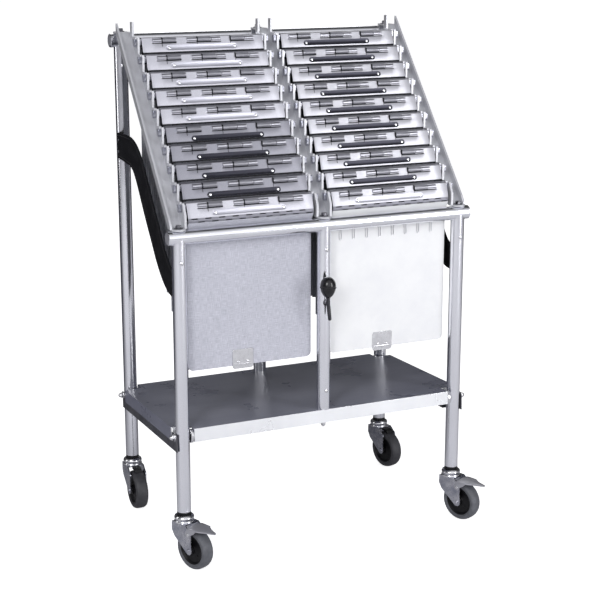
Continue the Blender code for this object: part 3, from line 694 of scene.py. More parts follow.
def build_tubes(mats):
    """Smooth tubes in place of the faceted ones, with plugs in the cross tubes' ends."""
    for depth in ("front", "rear"):
        name = depth + "_cross_tube"
        low, high = in_mm(name)
        y, z = (low.y + high.y) / 2, (low.z + high.z) / 2
        radius, length = (high.z - low.z) / 2, high.x - low.x
        inner, rim = radius - TUBE_WALL, radius - RIM_ROUND
        profile = ((inner, 0.0), (rim, 0.0), (radius, RIM_ROUND), (radius, length - RIM_ROUND),
                   (rim, length), (inner, length))
        bm = bmesh.new()
        add_lathe(bm, profile, TUBE_SEGMENTS, pointing((low.x, y, z), (1, 0, 0)), closed=True)
        piece(name + "_smooth", bm, [mats["tube_x"]], "root", name)
        bm = bmesh.new()
        plug = ((0.0, -6.0), (inner - 0.2, -6.0), (inner - 0.2, -0.6), (inner - 1.4, 0.2), (0.0, 0.2))
        for x, way in ((low.x, -1), (high.x, 1)):
            add_lathe(bm, plug, 48, pointing((x, y, z), (way, 0, 0)))
        piece(name + "_end_plugs", bm, [mats["plug"]], "root")
    for (depth, side), (x, y, bottom, top, radius) in tube_axes().items():
        name = "%s_%s_upright" % (depth, side)
        inner, rim = radius - TUBE_WALL, RIM_ROUND / 2
        profile = ((inner, bottom), (radius - rim, bottom), (radius, bottom + rim), (radius, top),
                   (inner, top))
        bm = bmesh.new()
        add_lathe(bm, profile, TUBE_SEGMENTS, Matrix.Translation((x, y, 0)), closed=True)
        piece(name + "_smooth", bm, [mats["tube_z"]], "root", name)


def build_frame_fasteners(mats):
    """Bolts on the rails, screws in the uprights, nuts and spacers at the tray."""
    axes = tube_axes()
    bm = bmesh.new()
    for (depth, _), (x, y, *_rest) in axes.items():
        top = in_mm(depth + "_cross_tube")[1].z + TONGUE_TOP
        add_hex_bolt(bm, (x, y, top), (0, 0, 1), *RAIL_BOLT)
    piece("rail_bolts", bm, [mats["dark_chrome"]], "root", edge=0.3)

    bm = bmesh.new()
    for depth, side, z in UPRIGHT_SCREWS:
        x, y, _, _, radius = axes[depth, side]
        add_dome(bm, (x, y - radius + 0.3, z), (0, -1, 0), *UPRIGHT_SCREW)
    piece("upright_screws", bm, [mats["chrome"]], "root")

    bm = bmesh.new()
    for side, way in OUTWARD:
        for depth, z in TRAY_BOLT_Z.items():
            x, y = axes[depth, side][:2]
            add_acorn_nut(bm, (x + way * TRAY_BOLT_X, y, z), (way, 0, 0), TRAY_NUT_R)
        x, y, _, _, radius = axes["rear", side]
        at = (x - way * (radius - 0.3), y - 2.0, TRAY_BOLT_Z["rear"] + TRAY_DOME_RISE)
        add_dome(bm, at, (-way, 0, 0), *TRAY_DOME)
    x, y = axes["front", "middle"][:2]
    low = in_mm("lower_shelf")[1].z - MIDDLE_NUT_DROP
    add_acorn_nut(bm, (x, y, low), (0, 0, -1), MIDDLE_NUT_R)
    piece("tray_cap_nuts", bm, [mats["chrome"]], "root", edge=0.25)

    bm = bmesh.new()
    for side, way in OUTWARD:
        x, y, _, _, radius = axes["front", side]
        at = (x - way * (radius - 0.4), y, TRAY_BOLT_Z["front"])
        add_lathe(bm, SPACER, 40, pointing(at, (-way, 0, 0)), closed=True)
    piece("tray_spacers", bm, [mats["chrome"]], "root")


def polish_frame_nodes(frame, mats):
    """Better finishes and softened edges on the frame's own nodes."""
    looks = dict(CAD_EDGES)
    for place in CASTERS:
        looks[place + "_caster_fork"] = ("zinc", 0.45)
        looks[place + "_caster_socket"] = ("black", 0.4)
    for node, (mat, width) in looks.items():
        dress(frame["nodes"][node], mats[mat], width)


def dress(node, mat, width):
    """Give a node of the frame one material and soft edges."""
    node.data.materials.clear()
    node.data.materials.append(mat)
    weld = node.modifiers.new("weld", "WELD")
    weld.merge_threshold = 0.00001
    bevel(node, width, 2, 25.0)


# ---------------------------------------------------------------- binders

def slope_point(row, proud=0.0):
    """A point on the sloping spine face: row millimetres up from its lower edge, proud of the face."""
    low, high = Vector(SPINE_LOW), Vector(SPINE_HIGH)
    along = (high - low).normalized()
    outward = Vector((-along.y, along.x))
    return low + along * row + outward * proud


def in_spans(value, spans):
    """Whether a value lies in one of the spans."""
    return any(low <= value <= high for low, high, *_ in spans)


def shifted(spans, offset):
    """The same spans moved by an offset."""
    return [(low + offset, high + offset, *rest) for low, high, *rest in spans]


def piano_spans(shift):
    """Every second knuckle of the piano hinge, along the binder's width."""
    spans = []
    start = -HALF_X + 6.0 + shift
    while start < HALF_X - 14.0:
        spans.append((start, start + PIANO_PITCH / 2 - 1.2))
        start += PIANO_PITCH
    return spans


def spine_face_mesh(name, face, lip, offset):
    """Face, top and back of the spine as one bent sheet, pierced by the slits and the hinge slots."""
    low, high = Vector(SPINE_LOW), Vector(SPINE_HIGH)
    length = (high - low).length
    rows = [(SPINE_LOW[0], HINGE_Z), (SPINE_LOW[0], HINGE_SLOT[0]), (SPINE_LOW[0], HINGE_SLOT[1]), SPINE_LOW,
            *(tuple(slope_point(row)) for row in (*SLIT_ROW, length - 1.0)),
            (SPINE_HIGH[0] + 0.9, SPINE_HIGH[1]), (SPINE_REAR - 1.0, SPINE_HIGH[1]),
            (SPINE_REAR, SPINE_HIGH[1] - 1.0), (SPINE_REAR, SPINE_REAR_LOW)]
    slots, slits = piano_spans(0.0), shifted(SLIT_SPANS, offset)
    edges = {-HALF_X, HALF_X}
    for span in slits + slots:
        edges.update(span)
    xs = sorted(edges)
    bm = bmesh.new()
    grid = [[bm.verts.new((x, y, z)) for x in xs] for y, z in rows]
    hinge_row, lip_rows, slit_row = 1, 3, 4
    for r in range(len(rows) - 1):
        for c in range(len(xs) - 1):
            middle = (xs[c] + xs[c + 1]) / 2
            if in_spans(middle, {slit_row: slits, hinge_row: slots}.get(r, ())):
                continue
            strip = bm.faces.new((grid[r][c], grid[r][c + 1], grid[r + 1][c + 1], grid[r + 1][c]))
            # Rows below the face's lower edge take the lip material: painted shadow black on all but the
            # front binder
            strip.material_index = int(r < lip_rows)
    return to_mesh(name, bm, [face, lip])


def shade_core_mesh(mats):
    """Painted shadow: a black block inside the spine, standing in for the shade seen through the slits and
    at the spine's open ends.
    """
    bm = bmesh.new()
    inset = 1.5
    outline = [(SPINE_LOW[0] + inset, HINGE_Z + 0.4), (SPINE_LOW[0] + inset, SPINE_LOW[1]),
               (SPINE_HIGH[0] + inset, SPINE_HIGH[1] - inset), (SPINE_REAR - inset, SPINE_HIGH[1] - inset),
               (SPINE_REAR - inset, SPINE_REAR_LOW - 8.0), (-9.0, HINGE_Z - 4.0)]
    add_prism(bm, outline, -HALF_X + 5.0, HALF_X - 5.0)
    return to_mesh("spine_shade_core", bm, [mats["shadow"]])


def ears_mesh(mats):
    """The two round-bottomed ears that hang in the rail notches."""
    bm = bmesh.new()
    outline = [(-EAR_R, EAR_TOP)] + arc((0, EAR_ROUND_Z), EAR_R, 180, 360, 12) + [(EAR_R, EAR_TOP)]
    for side in (-1, 1):
        low, high = sorted((side * (HALF_X - 8.0), side * EAR_REACH))
        add_prism(bm, outline, low, high)
    return to_mesh("ears", bm, [mats["zinc"]])


def barrel_mesh(mats, offset):
    """The rolled rod along the spine's top: plain bright rolls and ribbed knuckles."""
    bm = bmesh.new()
    centre = slope_point(BARREL_ROW, -PLAIN_BARREL_R + 2.0)
    for low, high, ribbed in shifted(BARREL_SPANS, offset):
        matrix = pointing((low, centre.x, centre.y), (1, 0, 0))
        length = high - low
        radius = KNUCKLE_R if ribbed else PLAIN_BARREL_R
        profile = [(0.0, 0.0), (radius - 0.4, 0.0), (radius, 0.4), (radius, length - 0.4),
                   (radius - 0.4, length), (0.0, length)]
        add_lathe(bm, profile, 28, matrix, 1 if ribbed else 0)
        if ribbed:
            add_ribs(bm, centre, low, high)
    return to_mesh("barrels", bm, [mats["plain_barrel"], mats["knuckle"], mats["shadow"]])


def shade_mark(bm, low, high, row_low, row_high, proud=0.25):
    """Painted shadow: a black thin plate on the sloping face, standing in for the shade in a recess."""
    corners = ((row_low, proud), (row_high, proud), (row_high, -0.6), (row_low, -0.6))
    add_prism(bm, [tuple(slope_point(row, out)) for row, out in corners], low, high, slot=2)


def add_ribs(bm, centre, low, high):
    """Fine raised ribs along a knuckle, with painted shadow at its left end, below it and in a short slot,
    standing in for the shade in those gaps.
    """
    for degrees in range(120, 241, 15):
        angle = math.radians(degrees)
        y = centre.x + (KNUCKLE_R + 0.1) * math.cos(angle)
        z = centre.y + (KNUCKLE_R + 0.1) * math.sin(angle)
        add_strand(bm, (low + 1.5, y, z), (1, 0, 0), high - low - 3.0, RIB_R, 6, 1)
    # Painted shadow: a black disc at the knuckle's left end, black plates below it and in the slot
    add_cylinder(bm, (low - 1.4, centre.x, centre.y), (1, 0, 0), KNUCKLE_R + 0.5, 1.5, 24, 2)
    shade_mark(bm, low - 1.2, high + 0.4, SLIT_ROW[1] - 0.9, SLIT_ROW[1] + 1.0, 1.0)
    shade_mark(bm, low - 1.3, low - 0.3, SLIT_ROW[0] - 5.5, SLIT_ROW[0])


def piano_mesh(mats):
    """The piano hinge between the spine and its front cover, knuckle by knuckle."""
    bm = bmesh.new()
    y, z = SPINE_LOW[0] + PIANO_R - 0.3, HINGE_SLOT[0] - PIANO_R + 0.2
    for shift in (0.0, PIANO_PITCH / 2):
        for low, high in piano_spans(shift):
            add_cylinder(bm, (low, y, z), (1, 0, 0), PIANO_R, high - low, 18)
    add_cylinder(bm, (-HALF_X + 1, y, z), (1, 0, 0), PIANO_PIN_R, 2 * HALF_X - 2, 12)
    # Painted shadow: black plates in every second knuckle's leaf slot, standing in for the shade inside the
    # slots
    (bottom, top), face, back = LEAF_SLOT, SPINE_LOW[0] - 0.25, SPINE_LOW[0] + 0.6
    for low, high in piano_spans(PIANO_PITCH / 2):
        add_prism(bm, [(face, bottom), (face, top), (back, top), (back, bottom)], low, high, slot=1)
    return to_mesh("piano_hinge", bm, [mats["painted_shade_spine"], mats["shadow"]])


def strip_mesh(mats, dark, drop):
    """Concave label channel with rounded ends and its two rivets."""
    bm = bmesh.new()
    x_low, x_high = STRIP_X
    row_low, row_high = (row - drop for row in STRIP_ROW)
    middle, half = (row_low + row_high) / 2, (row_high - row_low) / 2
    across = 8
    turns = [math.radians(d) for d in range(0, 91, 15)]
    ends = [(half - half * math.cos(a), half * math.sin(a)) for a in turns]
    stations = [(x_low + inset, reach) for inset, reach in ends]
    stations += [(x_low + half + (x_high - x_low - 2 * half) * k / 12, half) for k in range(1, 12)]
    stations += [(x_high - inset, reach) for inset, reach in reversed(ends)]
    rows = []
    for x, reach in stations:
        ring = []
        for k in range(across + 1):
            t = -1.0 + 2.0 * k / across
            point = slope_point(middle + t * max(reach, 0.05), 0.25 + STRIP_PROUD * t * t * (reach / half))
            ring.append(bm.verts.new((x, point.x, point.y)))
        rows.append(ring)
    for a, b in zip(rows, rows[1:]):
        for k in range(across):
            bm.faces.new((a[k], b[k], b[k + 1], a[k + 1]))
    geometry = bmesh.ops.extrude_face_region(bm, geom=list(bm.faces))
    moved = [v for v in geometry["geom"] if isinstance(v, bmesh.types.BMVert)]
    bmesh.ops.translate(bm, vec=(0.0, 0.55, -0.15), verts=moved)
    outward = slope_point(0.0, 1.0) - slope_point(0.0, 0.0)
    for x in (x_low + half + 0.5, x_high - half - 0.5):
        at = slope_point(middle, 0.2)
        add_dome(bm, (x, at.x, at.y), (0, outward.x, outward.y), *STRIP_RIVET, 1)
    # dark picks the copy coloured as a painted dark reflection, otherwise the painted light reflection
    body = mats["strip_painted_dark_reflection"] if dark else mats["strip_painted_light_reflection"]
    return to_mesh("label_channel", bm, [body, mats["chrome"]])


def board_outlines(front_one):
    """Side view of the back board and, on all but the front binder, the front board."""
    inner, top = SPINE_REAR - BOARD, -12.0
    back = [(inner, top), (SPINE_REAR, top), (SPINE_REAR, -DROP), (inner, -DROP)]
    if front_one:
        return [back]
    hinge = HINGE_Z - 0.4
    front = [(SPINE_LOW[0], hinge), (SPINE_LOW[0] + 2.0, hinge), (0.2, ELBOW_Z - 1.0), (0.2, -DROP),
             (-2.0, -DROP), (-2.0, ELBOW_Z)]
    return [back, front]


def boards_mesh(mats, front_one):
    """The cloth-covered boards that hang below a binder's spine."""
    bm = bmesh.new()
    for outline in board_outlines(front_one):
        add_prism(bm, outline, -HALF_X, HALF_X)
    return to_mesh("boards", bm, [mats["board"]])


def pages_mesh(mats, front_one):
    """The filling: a block of pages with a slightly wavy fore edge."""
    bm = bmesh.new()
    front, back = (3.2 if front_one else 0.8), SPINE_REAR - 2.8
    layer = (back - front) / len(PAGE_STAGGER)
    for k, stagger in enumerate(PAGE_STAGGER):
        low, high = front + layer * k, front + layer * (k + 1) - 0.12
        bottom = 6.0 - DROP + 0.7 * (k % 3)
        reach = PAGE_HALF_X + stagger
        add_prism(bm, ((low, PAGE_TOP), (high, PAGE_TOP), (high, bottom), (low, bottom)), -reach, reach)
    return to_mesh("pages", bm, [mats["paper"]])


def binder_origin(column, index):
    """Centre of a binder's ears, from the box of its node: spine front and top are known from there."""
    low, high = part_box("%s_binder_%02d" % (column, index))
    x = (low.x + high.x) / 2
    return Vector((x, low.y - SPINE_LOW[0] * MM, high.z - SPINE_HIGH[1] * MM))


def build_binders(mats):
    """Twenty binders: sheet spines, rolled rods, label channels, hinges, boards and pages."""
    shade_core, ears, hinge = shade_core_mesh(mats), ears_mesh(mats), piano_mesh(mats)
    boards = {front: boards_mesh(mats, front) for front in (True, False)}
    pages = {front: pages_mesh(mats, front) for front in (True, False)}
    spines, strips = {}, {}
    for column in COLUMNS:
        offset = COLUMN_OFFSET[column]
        rod = barrel_mesh(mats, offset)
        for index in range(1, CHARTS + 1):
            node = "%s_binder_%02d" % (column, index)
            at = binder_origin(column, index)
            front_one = index == CHARTS
            # Charts 6 to 9 of the left column get the darker spine copy, a painted shade for their more
            # upright faces
            grey = column == "left" and index in SHADED_CHARTS
            kind = "painted_shade_spine" if grey else column + "_spine"
            if (column, kind, front_one) not in spines:
                # Painted shadow: on all but the front binder the lip below the spine's face is near-black,
                # standing in for the shade under the spine's edge
                lip = mats["painted_shade_spine"] if front_one else mats["shadow"]
                spines[column, kind, front_one] = spine_face_mesh(kind, mats[kind], lip, offset)
            # Painted reflection: the channel is dark on charts 6 to 9 of the left column and on the right
            # column's rear nine, light on the rest
            dark = grey or (column == "right" and not front_one)
            if (dark, grey) not in strips:
                strips[dark, grey] = strip_mesh(mats, dark, LOW_STRIP_DROP if grey else 0.0)
            spine = link(node + "_spine", spines[column, kind, front_one], at)
            thicken(spine, PLATE, -1.0)
            bevel(spine, 0.25, 2, 30.0)
            made = [spine, bevel(link(node + "_ears", ears, at), 0.5), link(node + "_shade_core", shade_core, at),
                    link(node + "_rod", rod, at), link(node + "_piano_hinge", hinge, at),
                    link(node + "_label_channel", strips[dark, grey], at),
                    bevel(link(node + "_boards", boards[front_one], at), 0.3),
                    link(node + "_pages", pages[front_one], at)]
            for obj in made:
                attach(obj, node)
            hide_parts(node)


def build_covers(mats):
    """Clips with rivets on both front covers and the wire loops on the white one."""
    for column in COLUMNS:
        node = column + "_cover_clip"
        low, high = in_mm(node)
        wide, tall = high.x - low.x, high.z - low.z
        bm = bmesh.new()
        outline = [(low.x, low.z + 3), (low.x + 3, low.z), (high.x - 3, low.z), (high.x, low.z + 3),
                   (high.x, high.z - 2), (high.x - 2, high.z), (low.x + 2, high.z), (low.x, high.z - 2)]
        add_prism(bm, outline, low.y, high.y, "Y")
        bottom, top = (low.z + tall * share for share in CLIP_LIP)
        lip = [(low.x + 4, bottom), (high.x - 4, bottom), (high.x - 4, top), (low.x + 4, top)]
        add_prism(bm, lip, low.y - 0.8, low.y + 0.2, "Y")
        for share in (0.28, 0.72):
            at = (low.x + wide * share, low.y + 0.1, low.z + tall * CLIP_RIVET_AT)
            add_dome(bm, at, (0, -1, 0), *CLIP_RIVET)
        body = "%s_binder_%02d" % (column, CHARTS)
        piece(node + "_stamped", bm, [mats["clip"]], body, node, edge=0.3)
    left_edge = in_mm("right_front_cover")[0].x
    front = in_mm("right_cover_clip")[1].y
    bm = bmesh.new()
    for k in range(LOOPS):
        add_loop(bm, left_edge + LOOP_FIRST + LOOP_PITCH * k, front)
    piece("right_cover_loops", bm, [mats["chrome"]], "right_binder_10")


def add_loop(bm, x, front):
    """A flat wire loop stapled through the cover."""
    path = [(x - LOOP_HALF, LOOP_TOP), *arc((x, LOOP_TOP - LOOP_DROP), LOOP_HALF, 180, 360, 10),
            (x + LOOP_HALF, LOOP_TOP)]
    inward = Vector((0, 1, 0))
    rings = []
    for k, (px, pz) in enumerate(path):
        before, after = path[max(k - 1, 0)], path[min(k + 1, len(path) - 1)]
        along = Vector((after[0] - before[0], 0, after[1] - before[1])).normalized()
        across = inward.cross(along)
        middle = Vector((px, front - LOOP_WIRE_R * 0.2, pz))
        ring = []
        for degrees in range(0, 360, 45):
            angle = math.radians(degrees)
            offset = across * math.cos(angle) + inward * math.sin(angle)
            ring.append(bm.verts.new(middle + offset * LOOP_WIRE_R))
        rings.append(ring)
    add_skin(bm, rings)


# ---------------------------------------------------------------- straps, hook, casters

def catmull(points, steps):
    """Points of a smooth curve through the given ones."""
    out = []
    padded = [points[0]] + list(points) + [points[-1]]
    for a, b, c, d in zip(padded, padded[1:], padded[2:], padded[3:]):
        for k in range(steps):
            t = k / steps
            out.append(0.5 * ((2 * b) + (c - a) * t + (2 * a - 5 * b + 4 * c - d) * t * t
                              + (3 * b - a - 3 * c + d) * t * t * t))
    out.append(points[-1])
    return out


def strap_frames(x0, way, depth):
    """Along a strap: its middle, the direction across it, half its width and its x."""
    centre = catmull([Vector((y, z)) for y, z in STRAP_ROUTE], 5)
    last = len(centre) - 1
    narrow, wide = STRAP_HALF
    frames = []
    for k, point in enumerate(centre):
        along = (centre[min(k + 1, last)] - centre[max(k - 1, 0)]).normalized()
        half = narrow + (wide - narrow) * math.sin(math.pi * k / last)
        x = x0 + way * STRAP_LEAN_X * point.x / depth
        frames.append((point, Vector((-along.y, along.x)), half, x))
    return frames


def build_straps(mats):
    """Webbing bands beside the binders: folded edges, two rows of stitching, riveted ends."""
    axes = tube_axes()
    depth = axes["rear", "left"][1] - axes["front", "left"][1]
    outline = [*STRAP_SECTION, *((a, -b) for a, b in STRAP_SECTION[-2:0:-1])]
    start, run = STRAP_CUP_RUN
    for side, way in OUTWARD:
        x0, y0 = axes["front", side][:2]
        frames = strap_frames(x0, way, depth)
        bm = bmesh.new()
        rings = []
        for point, across, half, x in frames:
            cup = -way * STRAP_CUP * math.sin(math.pi / 2 * min(1, (point.x - start) / run))
            ring = []
            for a, b in outline:
                lean = x + b * STRAP_SHEET + cup * (1 - a * a)
                reach = across * a * half
                ring.append(bm.verts.new((lean, y0 + point.x + reach.x, point.y + reach.y)))
            rings.append(ring)
        add_skin(bm, rings)
        node = "side_strap_" + side
        piece(node + "_webbing", bm, [mats["webbing"]], "root", node, 60.0)
        build_stitching(node, frames, y0, mats)


def build_stitching(node, frames, y0, mats):
    """Two rows of short stitches and two rivets at each end, on both faces of a strap."""
    bm = bmesh.new()
    for (point, across, half, x), (following, *_rest) in list(zip(frames, frames[1:]))[1:]:
        along = following - point
        for edge in (-0.8, 0.8):
            for face in (-1, 1):
                surface = x + face * (STRAP_SHEET * 0.52)
                for part in (0.1, 0.6):
                    at = point + along * part + across * half * edge
                    end = at + along * 0.32
                    add_stitch(bm, (surface, y0 + at.x, at.y), (surface, y0 + end.x, end.y))
    piece(node + "_stitches", bm, [mats["thread"]], "root")
    bm = bmesh.new()
    for (point, across, half, x), inward in ((frames[1], 5.0), (frames[-2], -5.0)):
        for edge in (-0.45, 0.45):
            for face in (-1, 1):
                at = (x + face * STRAP_SHEET * 0.5, y0 + point.x + inward + across.x * half * edge,
                      point.y + across.y * half * edge)
                add_dome(bm, at, (face, 0, 0), *STRAP_RIVET)
    piece(node + "_rivets", bm, [mats["dark_chrome"]], "root")


def add_stitch(bm, start, end):
    """One stitch, from end to end."""
    along = Vector(end) - Vector(start)
    add_strand(bm, start, along, along.length, STITCH_R, 5)


def build_hook(mats):
    """Smooth bent rod with an egg-shaped knob, and a bolt head where it leaves the upright."""
    x, y, _, _, radius = tube_axes()["front", "middle"]
    foot = Vector((x, y, HOOK_Z))
    points = catmull([Vector(p) + foot for p in ((0.0, -radius - 0.6, 0.0), *HOOK_ROUTE)], 6)
    curve = bpy.data.curves.new("hook_rod_line", "CURVE")
    curve.dimensions = "3D"
    curve.bevel_depth = HOOK_ROD_R * MM
    curve.bevel_resolution = 6
    curve.use_fill_caps = True
    spline = curve.splines.new("POLY")
    spline.points.add(len(points) - 1)
    for target, point in zip(spline.points, points):
        target.co = (*(point * MM), 1.0)
    spline.use_smooth = True
    curve.materials.append(mats["rod"])
    rod = link("hook_rod_smooth", curve)
    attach(rod, "root")
    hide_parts("hook_rod")
    bm = bmesh.new()
    add_hex_bolt(bm, (x, y - radius + 0.5, HOOK_Z), (0, -1, 0), *HOOK_BOLT)
    piece("hook_collar", bm, [mats["dark_chrome"]], "root", edge=0.25)
    build_knob(mats)


def build_knob(mats):
    """Egg shape, widest above its middle, with a raised mould seam."""
    low, high = in_mm("hook_knob")
    centre = (low + high) / 2
    half, wide = (high.z - low.z) / 2, (high.x - low.x) / 2
    egg = [(0.0, -half), (4.3, -half), (4.9, -half + 1.0)]
    for degrees in range(-70, 90, 8):
        a = math.radians(degrees)
        egg.append((wide * (1.0 + KNOB_SWELL * math.sin(a)) / 1.06 * math.cos(a), half * math.sin(a)))
    egg.append((0.0, half))
    seam = ((0.0, -0.35), (wide * 1.005, -0.35), (wide * 1.005, 0.35), (0.0, 0.35))
    bm = bmesh.new()
    for profile in (egg, seam):
        add_lathe(bm, profile, 64, Matrix.Translation(centre))
    piece("hook_knob_smooth", bm, [mats["knob"]], "root", "hook_knob", 50.0)


def joint(frame, name):
    """A joint's place and axis."""
    found = next(j for j in frame["joints"] if j["name"] == name)
    return Vector(found["pos_m"]) / MM, Vector(found["axis"])


def trail_way(swivel, end):
    """Level direction in which a caster trails."""
    return Vector((end.x - swivel.x, end.y - swivel.y, 0)).normalized()


def caster_matrix(at, across, along):
    """Places X along one level direction and Y along another, at a point."""
    return Matrix.Translation(at) @ Matrix((across, along, Vector((0, 0, 1)))).transposed().to_4x4()


def mirrored(half):
    """A half section and its mirror image across the wheel's middle."""
    return [*half, *((r, -h) for r, h in half[::-1])]


def build_wheels(frame, mats):
    """Tyres with a bead line on each side; hubs with two pins on each side."""
    rise, reach = TYRE_ROUND
    turns = [math.radians(d) for d in range(15, 91, 15)]
    base = TYRE_TREAD[-1][0]
    tread = [*TYRE_TREAD, *((base + rise * math.sin(a), -3.0 - reach * math.cos(a)) for a in turns)]
    pin_r, pin_out = HUB_PIN_AT
    for place in CASTERS:
        at, axle = joint(frame, place + "_roll")
        matrix = pointing(at, axle)
        tyre, hub = bmesh.new(), bmesh.new()
        add_lathe(tyre, mirrored(tread), 96, matrix, closed=True)
        add_lathe(hub, mirrored(HUB_HALF), 72, matrix, closed=True)
        for side in (-1, 1):
            add_lathe(tyre, [(r, side * h) for r, h in TYRE_BEAD], 96, matrix, closed=True)
            for degrees in (35, 215):
                a = math.radians(degrees)
                pin = matrix @ Vector((pin_r * math.cos(a), pin_r * math.sin(a), side * pin_out))
                add_dome(hub, pin, axle * side, *HUB_PIN)
        body = place + "_wheel"
        kind = "light_tyre" if place.startswith("front") else "dark_tyre"
        piece(place + "_tyre_moulded", tyre, [mats[kind]], body, place + "_caster_tyre", 40.0)
        piece(place + "_hub_moulded", hub, [mats["black"]], body, place + "_caster_hub", 40.0)


def build_caster_details(frame, mats):
    """Raceway rings, axle bolts and, on the rear casters, thread guards."""
    for place in CASTERS:
        swivel, _ = joint(frame, place + "_swivel")
        hub_at, axle = joint(frame, place + "_roll")
        body = place + "_caster"
        top = in_mm(place + "_caster_fork")[1].z
        bm = bmesh.new()
        add_lathe(bm, RACEWAY, 72, Matrix.Translation((swivel.x, swivel.y, top)), closed=True)
        piece(place + "_raceway", bm, [mats["chrome"]], body, smooth_angle=50.0)
        bm = bmesh.new()
        for side in (-1, 1):
            add_dome(bm, hub_at + axle * side * AXLE_FACE, axle * side, *AXLE_DOME)
        piece(place + "_axle_bolt", bm, [mats["zinc"]], body, edge=0.2)
        if place.startswith("rear"):
            trail = trail_way(swivel, hub_at)
            thread_guard(place, caster_matrix((swivel.x, swivel.y, 0), axle, -trail), mats)


def thread_guard(place, matrix, mats):
    """Small black block between the fork plates, above the tyre."""
    bm = bmesh.new()
    verts = add_prism(bm, GUARD, -GUARD_HALF, GUARD_HALF)
    bmesh.ops.transform(bm, matrix=matrix, verts=verts)
    guard = piece(place + "_thread_guard", bm, [mats["black"]], place + "_caster")
    bevel(guard, 0.8, 3)


def build_pedals(frame, mats):
    """Pressed foot plates: domed, tapered to a rounded tip, with folded ears."""
    for place in ("front_left", "front_right"):
        pivot, axle = joint(frame, place + "_brake")
        swivel, _ = joint(frame, place + "_swivel")
        body, node = place + "_pedal", place + "_brake_pedal"
        bm = bmesh.new()
        pedal_plate(bm)
        pedal_ears(bm)
        matrix = caster_matrix(pivot, axle, trail_way(swivel, pivot))
        bmesh.ops.transform(bm, matrix=matrix, verts=bm.verts)
        pedal = piece(node + "_pressed", bm, [mats["pedal"]], body, node, 40.0)
        thicken(pedal, PEDAL_SHEET, 0.0)
        bevel(pedal, 0.4, 2, 40.0)
        bm = bmesh.new()
        for side in (-1, 1):
            add_dome(bm, pivot + axle * side * PEDAL_DOME_X, axle * side, *PEDAL_DOME)
        piece(place + "_pedal_bolts", bm, [mats["chrome"]], body, edge=0.2)


def pedal_plate(bm):
    """Curved plate from above the pivot to the tip, in (across, trail, height) about the pivot."""
    rows = []
    for trail, half in PEDAL_STATIONS:
        height = PEDAL_RISE - PEDAL_BEND * max(0.0, trail - 6.0) ** 2
        crown = PEDAL_CROWN * min(1.0, half / 10.0)
        shares = [-1.0 + k / 4 for k in range(9)]
        rows.append([bm.verts.new((t * half, trail, height - crown * t * t)) for t in shares])
    for a, b in zip(rows, rows[1:]):
        for k in range(8):
            bm.faces.new((a[k], a[k + 1], b[k + 1], b[k]))


def pedal_ears(bm):
    """Flat ears folded down to the pivot on both sides."""
    outline = [(20.0, 11.4), (14.0, 5.0), (6.2, 0.6), *arc((0, 0), 6.0, 0, -180, 8), (-6.0, 4.0),
               (-2.0, 11.4)]
    for x in (-PEDAL_EAR_X, PEDAL_EAR_X):
        bm.faces.new([bm.verts.new((x, a, b)) for a, b in outline])


# ---------------------------------------------------------------- studio

def build_camera():
    data = bpy.data.cameras.new("camera")
    data.lens = CAMERA_LENS
    data.sensor_width = 36.0
    data.shift_y = CAMERA_SHIFT_Y
    camera = bpy.data.objects.new("camera", data)
    bpy.context.scene.collection.objects.link(camera)
    camera.location = CAMERA_AT
    camera.rotation_euler = (math.radians(90.0 - CAMERA_PITCH), 0.0, -math.radians(CAMERA_AZIMUTH))
    bpy.context.scene.camera = camera


def area_light(name, at, size, power):
    """A rectangular soft box that faces the cart."""
    data = bpy.data.lights.new(name, "AREA")
    data.shape = "RECTANGLE"
    data.size, data.size_y = size
    data.energy = power
    light = bpy.data.objects.new(name, data)
    bpy.context.scene.collection.objects.link(light)
    light.location = at
    light.rotation_euler = (Vector(BOX_AIM) - Vector(at)).to_track_quat("-Z", "Y").to_euler()


def stage_material():
    """Pale floor: bright and nearly shadowless to look at, grey in reflections for dark metal edges."""
    graph = Graph("pale_floor", (0.90, 0.90, 0.91), 0.7)
    mottle = graph.noise(3.0, 4.0)
    graph.colour(graph.blend(mottle, (0.885, 0.885, 0.895), (0.915, 0.915, 0.925)))
    graph.shader.inputs["Emission Color"].default_value = (1.0, 1.0, 1.0, 1.0)
    graph.shader.inputs["Emission Strength"].default_value = FLOOR_GLOW
    dull = graph.new("ShaderNodeBsdfDiffuse")
    behind = graph.spread(graph.axis("Y"), -0.3, 0.9)
    graph.plug(graph.blend(behind, *DULL_FLOOR), dull.inputs["Color"])
    mixed = graph.new("ShaderNodeMixShader")
    seen = graph.new("ShaderNodeLightPath").outputs["Is Camera Ray"]
    graph.plug(seen, mixed.inputs[0])
    graph.plug(dull.outputs[0], mixed.inputs[1])
    graph.plug(graph.shader.outputs[0], mixed.inputs[2])
    graph.plug(mixed.outputs[0], graph.tree.nodes["Material Output"].inputs["Surface"])
    return graph.material


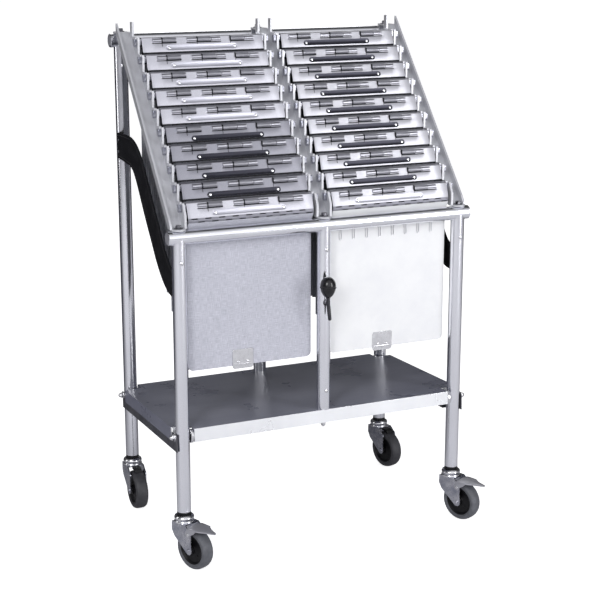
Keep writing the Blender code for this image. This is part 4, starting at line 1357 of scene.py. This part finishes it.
def build_room():
    """World light: bright in front and above, dim behind, white where the camera looks past the floor."""
    world = bpy.data.worlds.new("studio")
    bpy.context.scene.world = world
    world.use_nodes = True
    tree = world.node_tree
    background = tree.nodes["Background"]
    direction = tree.nodes.new("ShaderNodeTexCoord").outputs["Generated"]
    lobe = tree.nodes.new("ShaderNodeVectorMath")
    lobe.operation = "DOT_PRODUCT"
    lobe.inputs[1].default_value = Vector(ROOM_BRIGHT_WAY).normalized()
    tree.links.new(direction, lobe.inputs[0])
    ramp = tree.nodes.new("ShaderNodeMapRange")
    for socket, number in zip(ramp.inputs[1:5], ROOM_RAMP):
        socket.default_value = number
    tree.links.new(lobe.outputs["Value"], ramp.inputs[0])
    path = tree.nodes.new("ShaderNodeLightPath")
    seen = tree.nodes.new("ShaderNodeMix")
    tree.links.new(path.outputs["Is Camera Ray"], seen.inputs["Factor"])
    tree.links.new(ramp.outputs[0], seen.inputs[2])
    seen.inputs[3].default_value = ROOM_SEEN
    tree.links.new(seen.outputs[0], background.inputs["Strength"])
    background.inputs["Color"].default_value = ROOM_TINT


def build_studio():
    """Pale floor, a few soft boxes and a dim room."""
    mesh = bpy.data.meshes.new("floor")
    half = FLOOR_HALF
    corners = [(-half, -half, 0), (half, -half, 0), (half, half, 0), (-half, half, 0)]
    mesh.from_pydata(corners, [], [(0, 1, 2, 3)])
    mesh.materials.append(stage_material())
    link("floor", mesh)
    build_room()
    for box in SOFT_BOXES:
        area_light(*box)
    bpy.context.scene.view_settings.view_transform = "Standard"


# ---------------------------------------------------------------- the whole

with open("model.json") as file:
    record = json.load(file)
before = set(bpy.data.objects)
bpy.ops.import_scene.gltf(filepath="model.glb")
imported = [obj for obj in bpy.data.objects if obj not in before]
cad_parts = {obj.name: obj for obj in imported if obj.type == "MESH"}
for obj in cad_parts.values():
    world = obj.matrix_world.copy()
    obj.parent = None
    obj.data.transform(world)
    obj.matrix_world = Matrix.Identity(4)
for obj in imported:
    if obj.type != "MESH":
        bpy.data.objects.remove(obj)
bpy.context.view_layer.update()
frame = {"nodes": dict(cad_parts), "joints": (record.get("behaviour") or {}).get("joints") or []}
build_camera()
build_studio()
materials = make_materials()
polish_frame_nodes(frame, materials)
build_tubes(materials)
build_frame_fasteners(materials)
build_binders(materials)
build_covers(materials)
build_straps(materials)
build_hook(materials)
build_wheels(frame, materials)
build_caster_details(frame, materials)
build_pedals(frame, materials)
